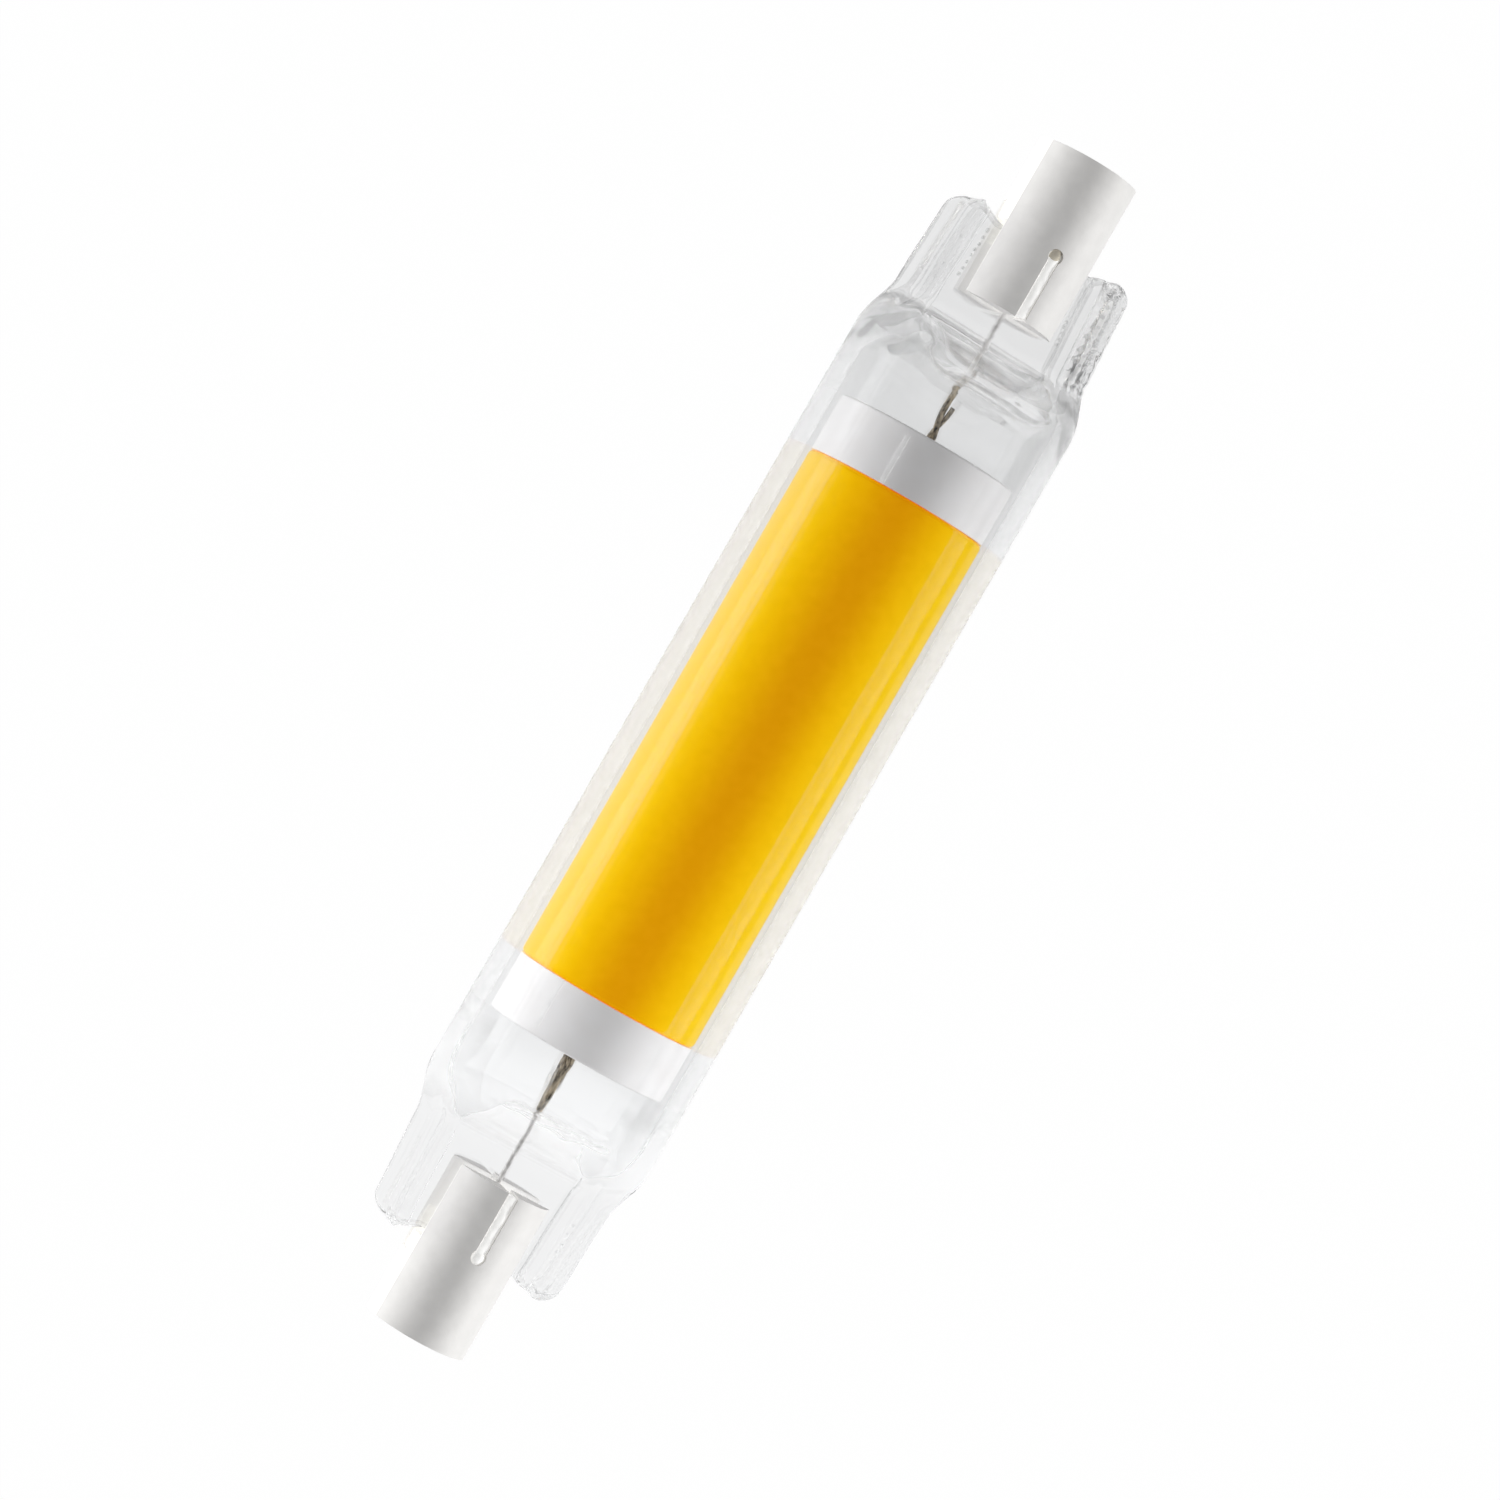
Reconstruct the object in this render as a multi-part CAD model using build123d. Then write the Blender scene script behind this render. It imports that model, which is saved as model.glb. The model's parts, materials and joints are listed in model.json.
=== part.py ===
from build123d import *
import math
import os

# A double-ended 78 mm lamp lying along X. Its flat press seals lie in the XY plane, +Z is up
# and the origin is the middle of the glass tube. All sizes are in millimetres.

# Overall
LAMP_LENGTH = 78.0
GLASS_WALL = 1.1
GLASS_TO_TUBE = 0.395

# Ends of the glass: the round tube is pressed to a flat web with a thick rib along each edge
SHOULDER_TO_CAP = 1.0
SHOULDER_LENGTH = 5.7
SHOULDER_POWER = 1.25
SHOULDER_LIP = 0.12
WAIST_LENGTH = 4.0
BASE_SQUARENESS = 4.5
WEB_THICKNESS = 2.0
WEB_END_GAP = 1.1
RIB_OVERHANG = 0.55
RIB_ROOT_DEPTH = 2.4
RIB_THICKNESS = 4.0
RIB_WIDTH = 1.65
RIB_BASE_HALF_WIDTH = 6.15
RIB_TIP_HALF_WIDTH = 5.85
RIB_TIP_ROUNDING = 0.75
RIB_EDGE_ROUNDING = 0.55

# Hollow of the glass: it closes to a thin crease before the web starts
CREASE_TO_WEB = 3.1
HOLLOW_NARROWING = 2.9
CREASE_THICKNESS = 0.44
CREASE_HALF_WIDTH = 5.5
CREASE_SQUARENESS = 3.0

# Wire through each press seal
SEAL_WIRE_DIAMETER = 0.3
SEAL_CLEARANCE = 0.01
SEAL_WIRE_SHIFT = {"right": 0.0, "left": 0.2}

# Ceramic end caps
CAP_DIAMETER = 6.4
CAP_LENGTH = 10.0
CAP_EDGE_BEVEL = 0.2
CAP_SLOT_DEPTH = 5.9
CAP_SLOT_CLEARANCE = 0.1
CROSS_SLOT_WIDTH = 0.68
CROSS_SLOT_DEPTH = 4.1
KEYHOLE_DIAMETER = 0.92
CONTACT_BELOW_FACE = 1.55
RECESS_DIAMETER = 3.6
RECESS_BEVEL = 0.15
FIT_CLEARANCE = 0.03

# Contact rivets
CONTACT_HEAD_DIAMETER = 2.9
CONTACT_HEAD_THICKNESS = 0.4
CONTACT_SHANK_DIAMETER = 1.6
CONTACT_SHANK_BORE = 0.9
CONTACT_SHANK_LENGTH = 1.6
CONTACT_DOME = 0.06

# Cement that holds the caps
CEMENT_BELOW_SURFACE = 0.16
CEMENT_BEAD_DIAMETER = 0.8

# Ceramic light tube
TUBE_DIAMETER = 11.36
TUBE_WALL = 0.98
TUBE_TO_CREASE = 4.6
TUBE_EDGE_BEVEL = 0.12
BARE_COLLAR = 3.6
COATING_DEPTH = 0.4
COATING_CROWN = 0.03
COATING_EDGE_ROUNDING = 0.2

# Light chips under the coating
CHIP_LENGTH = 0.8
CHIP_WIDTH = 0.4
CHIP_HEIGHT = 0.14
CHIP_RINGS = 8
CHIPS_PER_RING = 6
CHIP_CLEARANCE = 0.02
CHIP_END_MARGIN = 1.8

# Printed feed lines on the bare ends of the light tube
FEED_WIDTH = 0.22
FEED_THICKNESS = 0.05
FEED_EDGE_MARGIN = 0.5
FEED_ANGLE = {"right": 30.0, "left": 46.0}

# Discs that close the light tube
DISC_THICKNESS = 0.8
DISC_INSET = 0.35
DISC_HOLE_DIAMETER = 1.2

# Inner leads
WELD_TO_CREASE = 0.6
WELD_DIAMETER = 0.46
WELD_LENGTH = 0.35
TWIN_STRAND_DIAMETER = 0.3
TWIN_SPREAD = 0.22
TWIN_TAIL_LENGTH = 2.1
BUNDLE_STRANDS = 6
BUNDLE_STRAND_DIAMETER = 0.26
BUNDLE_WIDE_RADIUS = 0.26
BUNDLE_NARROW_RADIUS = 0.11
BUNDLE_TURN = 100.0
SOLDER_DIAMETER = 1.5
SOLDER_HEIGHT = 0.25

# Driver board inside the light tube, with its parts in a row along it
BOARD_TO_DISC = 2.15
BOARD_THICKNESS = 0.8
BOARD_DROP = 1.9
BOARD_EDGE_CLEARANCE = 0.05
PAD_HEIGHT = 0.04
PART_END_MARGIN = 0.8
PART_GAP = 0.8
RECTIFIER_SIZE = (4.7, 3.9, 2.3)
RECTIFIER_LEG_GAP = 2.54
CHIP_CASE_SIZE = (4.9, 3.9, 1.5)
CHIP_LEG_GAP = 1.27
LEG_THICKNESS = 0.2
LEG_WIDTH = 0.45
LEG_REACH = 1.0
CAPACITOR_DIAMETER = 4.9
CAPACITOR_LENGTH = 6.5
CAPACITOR_ROLL = 0.35
FUSE_DIAMETER = 2.2
FUSE_LENGTH = 3.6
FUSE_CAP_LENGTH = 0.6
RESISTOR_SIZE = (2.0, 1.25, 0.5)
RESISTOR_GAP = 0.3
RESISTOR_SPREAD = 2.6

# Worked out from the sizes above
TUBE_RADIUS = TUBE_DIAMETER / 2
TUBE_BORE_RADIUS = TUBE_RADIUS - TUBE_WALL
HOLLOW_RADIUS = TUBE_RADIUS + GLASS_TO_TUBE
GLASS_RADIUS = HOLLOW_RADIUS + GLASS_WALL
CAP_RADIUS = CAP_DIAMETER / 2
CAP_OUTER = LAMP_LENGTH / 2
CAP_INNER = CAP_OUTER - CAP_LENGTH
CAP_SLOT_END = CAP_INNER + CAP_SLOT_DEPTH
CAP_SLOT_WIDTH = WEB_THICKNESS + 2 * CAP_SLOT_CLEARANCE
KEYHOLE_AT = CAP_INNER + CROSS_SLOT_DEPTH
SHOULDER_END = CAP_INNER - SHOULDER_TO_CAP
SHOULDER_START = SHOULDER_END - SHOULDER_LENGTH
WAIST_START = SHOULDER_END - WAIST_LENGTH
WEB_REACH = CAP_SLOT_END - WEB_END_GAP
RIB_REACH = WEB_REACH + RIB_OVERHANG
RIB_ROOT = SHOULDER_END - RIB_ROOT_DEPTH
HOLLOW_REACH = SHOULDER_END - CREASE_TO_WEB
HOLLOW_NARROWING_START = HOLLOW_REACH - HOLLOW_NARROWING
WELD_REACH = HOLLOW_REACH - WELD_TO_CREASE
CONTACT_FACE = CAP_OUTER - CONTACT_BELOW_FACE
CONTACT_SEAT = CONTACT_FACE - CONTACT_HEAD_THICKNESS
SHANK_INNER_END = CONTACT_SEAT - CONTACT_SHANK_LENGTH
SEAL_WIRE_RADIUS = SEAL_WIRE_DIAMETER / 2
TUBE_END = HOLLOW_REACH - TUBE_TO_CREASE
COATING_END = TUBE_END - BARE_COLLAR
COATING_FLOOR = TUBE_RADIUS - COATING_DEPTH
DISC_OUTER = TUBE_END - DISC_INSET
DISC_INNER = DISC_OUTER - DISC_THICKNESS
BOARD_END = DISC_INNER - BOARD_TO_DISC
BOARD_TOP = -BOARD_DROP + BOARD_THICKNESS
BOARD_HALF_WIDTH = math.sqrt(TUBE_BORE_RADIUS**2 - BOARD_DROP**2) - BOARD_EDGE_CLEARANCE
PART_SEAT = BOARD_TOP + PAD_HEIGHT
RECTIFIER_AT = -BOARD_END + PART_END_MARGIN + RECTIFIER_SIZE[0] / 2
CAPACITOR_AT = RECTIFIER_AT + (RECTIFIER_SIZE[0] + CAPACITOR_LENGTH) / 2 + PART_GAP
FIRST_RESISTOR_AT = CAPACITOR_AT + (CAPACITOR_LENGTH + RESISTOR_SIZE[1]) / 2 + RESISTOR_GAP
CHIP_CASE_AT = FIRST_RESISTOR_AT + (RESISTOR_SIZE[1] + CHIP_CASE_SIZE[0]) / 2 + RESISTOR_GAP
SECOND_RESISTOR_AT = CHIP_CASE_AT + (CHIP_CASE_SIZE[0] + RESISTOR_SIZE[1]) / 2 + RESISTOR_GAP
RESISTOR_AT = (FIRST_RESISTOR_AT, SECOND_RESISTOR_AT)
FUSE_AT = BOARD_END - PART_END_MARGIN - FUSE_LENGTH / 2

SIDES = {"right": 1, "left": -1}
SECTION_POINTS = 24
SHOULDER_STATIONS = 6
HOLLOW_STATIONS = 6


def along_x(radius, start, end, y=0.0, z=0.0):
    """Solid cylinder along X from start to end."""
    middle = Pos((start + end) / 2, y, z)
    return middle * Rot(0, 90, 0) * Cylinder(radius, abs(end - start))


def ring_along_x(outer_radius, inner_radius, start, end):
    """Tube along X from start to end."""
    return along_x(outer_radius, start, end) - along_x(inner_radius, start, end)


def block(size, centre):
    """Box of the given size about its centre."""
    return Pos(*centre) * Box(*size)


def on_side(piece, side):
    """The piece as it is drawn for +X, turned half round Z for the left end."""
    if SIDES[side] > 0:
        return piece
    return Rot(0, 0, 180) * piece


def side_shift(side):
    """Sideways place of the seal wire, in the frame that on_side starts from."""
    return SEAL_WIRE_SHIFT[side] * SIDES[side]


# Glass envelope

def fall(position, start, end):
    """1 before start, 0 after end and a rounded shoulder between."""
    share = min(max((position - start) / (end - start), 0.0), 1.0)
    return 0.5 + 0.5 * math.cos(math.pi * share**SHOULDER_POWER)


def pressed_section(x, half_width, half_height, squareness):
    """Face across the tube: a circle at squareness 2, flat with round corners above it."""
    if squareness == 2:
        return Plane.YZ.offset(x) * Circle(half_width)
    points = []
    for step in range(SECTION_POINTS):
        turn = 2 * math.pi * step / SECTION_POINTS
        across = math.copysign(abs(math.cos(turn)) ** (2 / squareness), math.cos(turn))
        up = math.copysign(abs(math.sin(turn)) ** (2 / squareness), math.sin(turn))
        points.append(Vector(x, half_width * across, half_height * up))
    return make_face(Spline(points, periodic=True))


def shoulder():
    """Round tube pressed down to the thickness of the web."""
    end_height = WEB_THICKNESS / 2 + SHOULDER_LIP
    sections = []
    for step in range(SHOULDER_STATIONS + 1):
        x = SHOULDER_START + (SHOULDER_END - SHOULDER_START) * step / SHOULDER_STATIONS
        round_share = fall(x, SHOULDER_START, SHOULDER_END)
        height = end_height + (GLASS_RADIUS - end_height) * round_share
        waist = 1 - fall(x, WAIST_START, SHOULDER_END)
        width = GLASS_RADIUS - (GLASS_RADIUS - RIB_BASE_HALF_WIDTH) * waist
        squareness = 2 + (BASE_SQUARENESS - 2) * (1 - round_share)
        sections.append(pressed_section(x, width, height, squareness))
    return loft(sections)


def hollow_end():
    """The hollow as it closes to the crease."""
    crease = CREASE_THICKNESS / 2
    sections = []
    for step in range(HOLLOW_STATIONS + 1):
        reach = HOLLOW_REACH - HOLLOW_NARROWING_START
        x = HOLLOW_NARROWING_START + reach * step / HOLLOW_STATIONS
        open_share = fall(x, HOLLOW_NARROWING_START, HOLLOW_REACH)
        height = crease + (HOLLOW_RADIUS - crease) * open_share
        width = CREASE_HALF_WIDTH + (HOLLOW_RADIUS - CREASE_HALF_WIDTH) * open_share
        squareness = 2 + (CREASE_SQUARENESS - 2) * (1 - open_share)
        sections.append(pressed_section(x, width, height, squareness))
    return loft(sections)


def rib(hand):
    """Thick edge of the press seal, with a rounded tip; hand is 1 for +Y."""
    outline = Polyline(
        (RIB_ROOT, hand * (RIB_BASE_HALF_WIDTH - RIB_WIDTH)),
        (RIB_ROOT, hand * RIB_BASE_HALF_WIDTH),
        (SHOULDER_END, hand * RIB_BASE_HALF_WIDTH),
        (RIB_REACH, hand * RIB_TIP_HALF_WIDTH),
        (RIB_REACH, hand * (RIB_TIP_HALF_WIDTH - RIB_WIDTH)),
        close=True,
    )
    face = make_face(outline)
    tip_corners = face.vertices().group_by(Axis.X)[-1]
    outer_corner = max(tip_corners, key=lambda corner: hand * corner.Y)
    face = fillet(outer_corner, RIB_TIP_ROUNDING)
    plate = extrude(face, amount=RIB_THICKNESS / 2, both=True)
    long_edges = plate.edges().group_by(Axis.Z)
    return fillet(long_edges[0] + long_edges[-1], RIB_EDGE_ROUNDING)


def web():
    """Flat middle of the press seal, cut on a slant from the ribs to the cap."""
    inner = RIB_TIP_HALF_WIDTH - RIB_WIDTH / 2
    rib_corner = RIB_REACH - RIB_TIP_ROUNDING / 2
    outline = Polyline(
        (RIB_ROOT, -inner),
        (RIB_ROOT, inner),
        (rib_corner, inner),
        (WEB_REACH, CAP_RADIUS),
        (WEB_REACH, -CAP_RADIUS),
        (rib_corner, -inner),
        close=True,
    )
    return extrude(make_face(outline), amount=WEB_THICKNESS / 2, both=True)


def press_seal():
    """Everything of the glass past the round tube at one end."""
    return shoulder() + web() + rib(1) + rib(-1)


def glass_envelope():
    """Clear glass tube with both ends pressed flat around a wire."""
    glass = along_x(GLASS_RADIUS, -SHOULDER_START, SHOULDER_START)
    hollow = along_x(HOLLOW_RADIUS, -HOLLOW_NARROWING_START, HOLLOW_NARROWING_START)
    channel_radius = SEAL_WIRE_RADIUS + SEAL_CLEARANCE
    seal = press_seal()
    closing = hollow_end()
    for side in SIDES:
        glass += on_side(seal, side)
        hollow += on_side(closing, side)
        channel = along_x(channel_radius, WELD_REACH, CAP_SLOT_END, y=side_shift(side))
        hollow += on_side(channel, side)
    return glass - hollow


# End caps, contacts and cement

def cap(side):
    """Ceramic cap: a slotted cylinder with a stepped contact recess."""
    body = along_x(CAP_RADIUS, CAP_INNER, CAP_OUTER)
    body = chamfer(body.edges().group_by(Axis.X)[-1], CAP_EDGE_BEVEL)
    slot_middle = (CAP_INNER + CAP_SLOT_END) / 2
    body -= block((CAP_SLOT_DEPTH, CAP_DIAMETER, CAP_SLOT_WIDTH), (slot_middle, 0, 0))
    cross_middle = CAP_INNER + CROSS_SLOT_DEPTH / 2
    body -= block((CROSS_SLOT_DEPTH, CROSS_SLOT_WIDTH, CAP_DIAMETER), (cross_middle, 0, 0))
    body -= Pos(KEYHOLE_AT, 0, 0) * Cylinder(KEYHOLE_DIAMETER / 2, CAP_DIAMETER)
    shank_hole = CONTACT_SHANK_DIAMETER / 2 + FIT_CLEARANCE
    body -= along_x(shank_hole, CAP_SLOT_END - FIT_CLEARANCE, CONTACT_SEAT)
    head_hole = CONTACT_HEAD_DIAMETER / 2 + FIT_CLEARANCE
    body -= along_x(head_hole, CONTACT_SEAT, CONTACT_FACE)
    recess = along_x(RECESS_DIAMETER / 2, CONTACT_FACE, CAP_OUTER)
    mouth = Pos(CAP_OUTER - RECESS_BEVEL / 2, 0, 0) * Rot(0, 90, 0) * Cone(
        RECESS_DIAMETER / 2, RECESS_DIAMETER / 2 + RECESS_BEVEL, RECESS_BEVEL)
    return on_side(body - recess - mouth, side)


def contact(side):
    """Hollow rivet: a slightly domed head and a tubular shank around the wire."""
    head = along_x(CONTACT_HEAD_DIAMETER / 2, CONTACT_SEAT, CONTACT_FACE - CONTACT_DOME)
    head = chamfer(head.edges().group_by(Axis.X)[-1], CONTACT_DOME)
    button = along_x(CONTACT_HEAD_DIAMETER / 3, CONTACT_FACE - CONTACT_DOME, CONTACT_FACE)
    shank = ring_along_x(
        CONTACT_SHANK_DIAMETER / 2, CONTACT_SHANK_BORE / 2, SHANK_INNER_END, CONTACT_SEAT)
    return on_side(head + button + shank, side)


def cap_cement(side):
    """Cement past the end of the web and in the cross slot, with a bead in each keyhole."""
    surface = CAP_RADIUS - CEMENT_BELOW_SURFACE
    limit = along_x(surface, CAP_INNER + CEMENT_BELOW_SURFACE, CAP_SLOT_END)
    slot_start = KEYHOLE_AT - KEYHOLE_DIAMETER
    slot_fill = block(
        (CAP_SLOT_END - slot_start, CAP_DIAMETER, CAP_SLOT_WIDTH),
        ((CAP_SLOT_END + slot_start) / 2, 0, 0))
    cross_fill = block(
        (CROSS_SLOT_DEPTH, CROSS_SLOT_WIDTH, CAP_DIAMETER),
        (CAP_INNER + CROSS_SLOT_DEPTH / 2, 0, 0))
    bead = Pos(KEYHOLE_AT, 0, 0) * Cylinder(CEMENT_BEAD_DIAMETER / 2, CAP_DIAMETER)
    fill = (slot_fill + cross_fill + bead) & limit
    fill -= block(
        (WEB_REACH - CAP_INNER, CAP_DIAMETER, WEB_THICKNESS),
        ((WEB_REACH + CAP_INNER) / 2, 0, 0))
    wire_hole = SEAL_WIRE_RADIUS + SEAL_CLEARANCE
    fill -= along_x(wire_hole, CAP_INNER, CAP_OUTER, y=side_shift(side))
    return on_side(fill, side)


# Wires

def seal_wire(side):
    """Thin wire from the weld in the hollow, through the web, into the contact's shank."""
    wire = along_x(SEAL_WIRE_RADIUS, WELD_REACH, CONTACT_SEAT, y=side_shift(side))
    return on_side(wire, side)


def weld_bead(side):
    """Weld between the inner lead and the seal wire."""
    start = WELD_REACH - WELD_LENGTH
    return along_x(WELD_DIAMETER / 2, start, WELD_REACH, y=side_shift(side))


def strand(start, end, diameter):
    """Straight round wire between two points, with round ends."""
    path = Line(start, end)
    place = Plane(origin=start, z_dir=Vector(*end) - Vector(*start))
    wire = extrude(place * Circle(diameter / 2), amount=path.length)
    return wire + Pos(*start) * Sphere(diameter / 2) + Pos(*end) * Sphere(diameter / 2)


def twin_lead(side):
    """Two wires that cross once, one of them ending short beside the weld."""
    foot = DISC_OUTER + TWIN_STRAND_DIAMETER / 2
    shift = side_shift(side)
    top = WELD_REACH - WELD_LENGTH
    lead = weld_bead(side)
    lead += strand((foot, -TWIN_SPREAD, 0), (top, shift, 0), TWIN_STRAND_DIAMETER)
    tail_end = (foot + TWIN_TAIL_LENGTH, -TWIN_SPREAD, TWIN_SPREAD)
    lead += strand((foot, TWIN_SPREAD, 0), tail_end, TWIN_STRAND_DIAMETER)
    return on_side(lead, side)


def bundle_lead(side):
    """Stranded lead: twisted wires drawn together from the disc to the weld."""
    foot = DISC_OUTER + BUNDLE_STRAND_DIAMETER / 2
    top = WELD_REACH - WELD_LENGTH
    shift = side_shift(side)
    lead = weld_bead(side)
    for index in range(BUNDLE_STRANDS):
        low = math.radians(360 * index / BUNDLE_STRANDS)
        high = low + math.radians(BUNDLE_TURN)
        start = (
            foot,
            shift + BUNDLE_WIDE_RADIUS * math.cos(low),
            BUNDLE_WIDE_RADIUS * math.sin(low),
        )
        end = (
            top,
            shift + BUNDLE_NARROW_RADIUS * math.cos(high),
            BUNDLE_NARROW_RADIUS * math.sin(high),
        )
        lead += strand(start, end, BUNDLE_STRAND_DIAMETER)
    return on_side(lead, side)


# Light tube

def light_tube():
    """White ceramic tube, turned down in the middle for the coating."""
    tube = ring_along_x(TUBE_RADIUS, TUBE_BORE_RADIUS, -TUBE_END, TUBE_END)
    outer_edges = [edge for edge in tube.edges() if edge.length > math.pi * (TUBE_DIAMETER - 0.5)]
    circles = [edge for edge in outer_edges if edge.geom_type == GeomType.CIRCLE]
    tube = chamfer(circles, TUBE_EDGE_BEVEL)
    return tube - ring_along_x(TUBE_RADIUS + 1, COATING_FLOOR, -COATING_END, COATING_END)


def chip_places():
    """Position along X and angle about it of every light chip, in staggered rings."""
    places = []
    span = 2 * (COATING_END - CHIP_END_MARGIN)
    for ring_index in range(CHIP_RINGS):
        x = -span / 2 + span * ring_index / (CHIP_RINGS - 1)
        stagger = 0.5 * (ring_index % 2)
        for chip_index in range(CHIPS_PER_RING):
            places.append((x, 360 * (chip_index + stagger) / CHIPS_PER_RING))
    return places


def chip_blocks(grow, sink):
    """A box at each chip on the turned-down wall, grown by a clearance and sunk by a depth."""
    height = CHIP_HEIGHT + grow + sink
    middle = COATING_FLOOR - sink + height / 2
    size = (CHIP_LENGTH + 2 * grow, CHIP_WIDTH + 2 * grow, height)
    chips = []
    for x, angle in chip_places():
        chips.append(Rot(angle, 0, 0) * Pos(x, 0, middle) * Box(*size))
    return chips


def coating():
    """Yellow coating over the chips, with a slight crown and soft ends."""
    outer = TUBE_RADIUS + COATING_CROWN
    sleeve = ring_along_x(outer, COATING_FLOOR, -COATING_END, COATING_END)
    length = 2 * math.pi * outer
    rims = [edge for edge in sleeve.edges() if abs(edge.length - length) < 0.1]
    sleeve = fillet([edge for edge in rims if edge.geom_type == GeomType.CIRCLE],
                    COATING_EDGE_ROUNDING)
    return sleeve - chip_blocks(CHIP_CLEARANCE, CHIP_HEIGHT)


def feed_line(side):
    """Printed line from the end of the light tube to the coating."""
    start = COATING_END
    end = TUBE_END - FEED_EDGE_MARGIN
    skin = ring_along_x(TUBE_RADIUS + FEED_THICKNESS, TUBE_RADIUS, start, end)
    window = block(
        (end - start, FEED_WIDTH, TUBE_DIAMETER), ((start + end) / 2, 0, TUBE_RADIUS))
    line = skin & window
    hand = SIDES[side]
    return on_side(Rot(-FEED_ANGLE[side] * hand, 0, 0) * line, side)


def end_disc(side):
    """Disc set into the mouth of the light tube, with a hole for the lead."""
    disc = ring_along_x(
        TUBE_BORE_RADIUS - FIT_CLEARANCE, DISC_HOLE_DIAMETER / 2, DISC_INNER, DISC_OUTER)
    return on_side(disc, side)


def solder(side):
    """Solder that fills the disc's hole and stands a little out of its inner face."""
    plug = along_x(DISC_HOLE_DIAMETER / 2 - FIT_CLEARANCE, DISC_INNER, DISC_OUTER)
    cone = Pos(DISC_INNER - SOLDER_HEIGHT / 2, 0, 0) * Rot(0, 90, 0) * Cone(
        SOLDER_DIAMETER / 4, SOLDER_DIAMETER / 2, SOLDER_HEIGHT)
    return on_side(plug + cone, side)


# Driver inside the light tube

def driver_board():
    """Board whose long edges rest on the wall of the light tube."""
    board = block(
        (2 * BOARD_END, 2 * BOARD_HALF_WIDTH, BOARD_THICKNESS),
        (0, 0, BOARD_TOP - BOARD_THICKNESS / 2))
    upright = board.edges().filter_by(Axis.Z)
    return fillet(upright, BOARD_THICKNESS / 2)


def moulded_case(size, x):
    """Chip case with slanted walls, standing on its legs."""
    length, width, height = size
    lift = LEG_THICKNESS / 2
    base = Pos(x, 0, PART_SEAT + lift) * Rectangle(length, width)
    return extrude(base, amount=height - lift, taper=4)


def gull_legs(size, x, gap, count):
    """Bent legs along both long sides of a chip case."""
    length, width, height = size
    shoulder_height = PART_SEAT + height / 2
    legs = []
    for index in range(count):
        place = x + (index - (count - 1) / 2) * gap
        for hand in (1, -1):
            side_wall = hand * (width + LEG_THICKNESS) / 2
            foot_end = hand * (width / 2 + LEG_REACH)
            knee = hand * (width / 2 + LEG_REACH / 2)
            outline = Polyline(
                (side_wall, shoulder_height),
                (knee, shoulder_height),
                (knee, PART_SEAT + LEG_THICKNESS / 2),
                (foot_end, PART_SEAT + LEG_THICKNESS / 2),
            )
            ribbon = offset(outline, amount=LEG_THICKNESS / 2, side=Side.BOTH)
            leg = extrude(Plane.YZ * make_face(ribbon), amount=LEG_WIDTH / 2, both=True)
            legs.append(Pos(place, 0, 0) * leg)
    return legs


def capacitor():
    """Round can lying on the board, with the rolled groove of its seal."""
    radius = CAPACITOR_DIAMETER / 2
    z = PART_SEAT + radius
    start = CAPACITOR_AT - CAPACITOR_LENGTH / 2
    end = CAPACITOR_AT + CAPACITOR_LENGTH / 2
    can = along_x(radius, start, end, z=z)
    can = fillet(can.edges().group_by(Axis.X)[-1], CAPACITOR_ROLL)
    groove = Pos(start + 1.2, 0, z) * Rot(0, 90, 0) * Torus(radius, CAPACITOR_ROLL / 2)
    return can - groove


def fuse_body():
    """Lacquered body of the fuse resistor."""
    reach = FUSE_LENGTH / 2 - FUSE_CAP_LENGTH
    z = PART_SEAT + FUSE_DIAMETER / 2
    return along_x(FUSE_DIAMETER / 2 - 0.08, FUSE_AT - reach, FUSE_AT + reach, z=z)


def fuse_caps():
    """Metal end caps of the fuse resistor, standing on the pads."""
    caps = []
    z = PART_SEAT + FUSE_DIAMETER / 2
    for hand in (1, -1):
        inner = FUSE_AT + hand * (FUSE_LENGTH / 2 - FUSE_CAP_LENGTH)
        outer = FUSE_AT + hand * FUSE_LENGTH / 2
        caps.append(along_x(FUSE_DIAMETER / 2, min(inner, outer), max(inner, outer), z=z))
    return caps


def sense_resistors():
    """Small flat resistors beside the chip."""
    length, width, height = RESISTOR_SIZE
    pieces = []
    for x in RESISTOR_AT:
        for hand in (1, -1):
            centre = (x, hand * RESISTOR_SPREAD, PART_SEAT + height / 2)
            pieces.append(block((width, length, height), centre))
    return pieces


def pad(x, y, length, width):
    """Solder pad on the board."""
    return block((length, width, PAD_HEIGHT), (x, y, BOARD_TOP + PAD_HEIGHT / 2))


def board_pads():
    """Solder pads under every part of the driver."""
    pads = []
    for size, x, gap, count in (
        (RECTIFIER_SIZE, RECTIFIER_AT, RECTIFIER_LEG_GAP, 2),
        (CHIP_CASE_SIZE, CHIP_CASE_AT, CHIP_LEG_GAP, 4),
    ):
        for index in range(count):
            place = x + (index - (count - 1) / 2) * gap
            for hand in (1, -1):
                y = hand * (size[1] / 2 + 3 * LEG_REACH / 4)
                pads.append(pad(place, y, LEG_WIDTH * 1.4, LEG_REACH))
    for hand in (1, -1):
        pads.append(pad(FUSE_AT + hand * (FUSE_LENGTH - FUSE_CAP_LENGTH) / 2, 0, 0.8, 1.6))
        pads.append(pad(CAPACITOR_AT + hand * CAPACITOR_LENGTH / 4, 0, 1.0, 1.6))
        for x in RESISTOR_AT:
            pads.append(pad(x, hand * RESISTOR_SPREAD, RESISTOR_SIZE[1], RESISTOR_SIZE[0]))
    return pads


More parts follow.
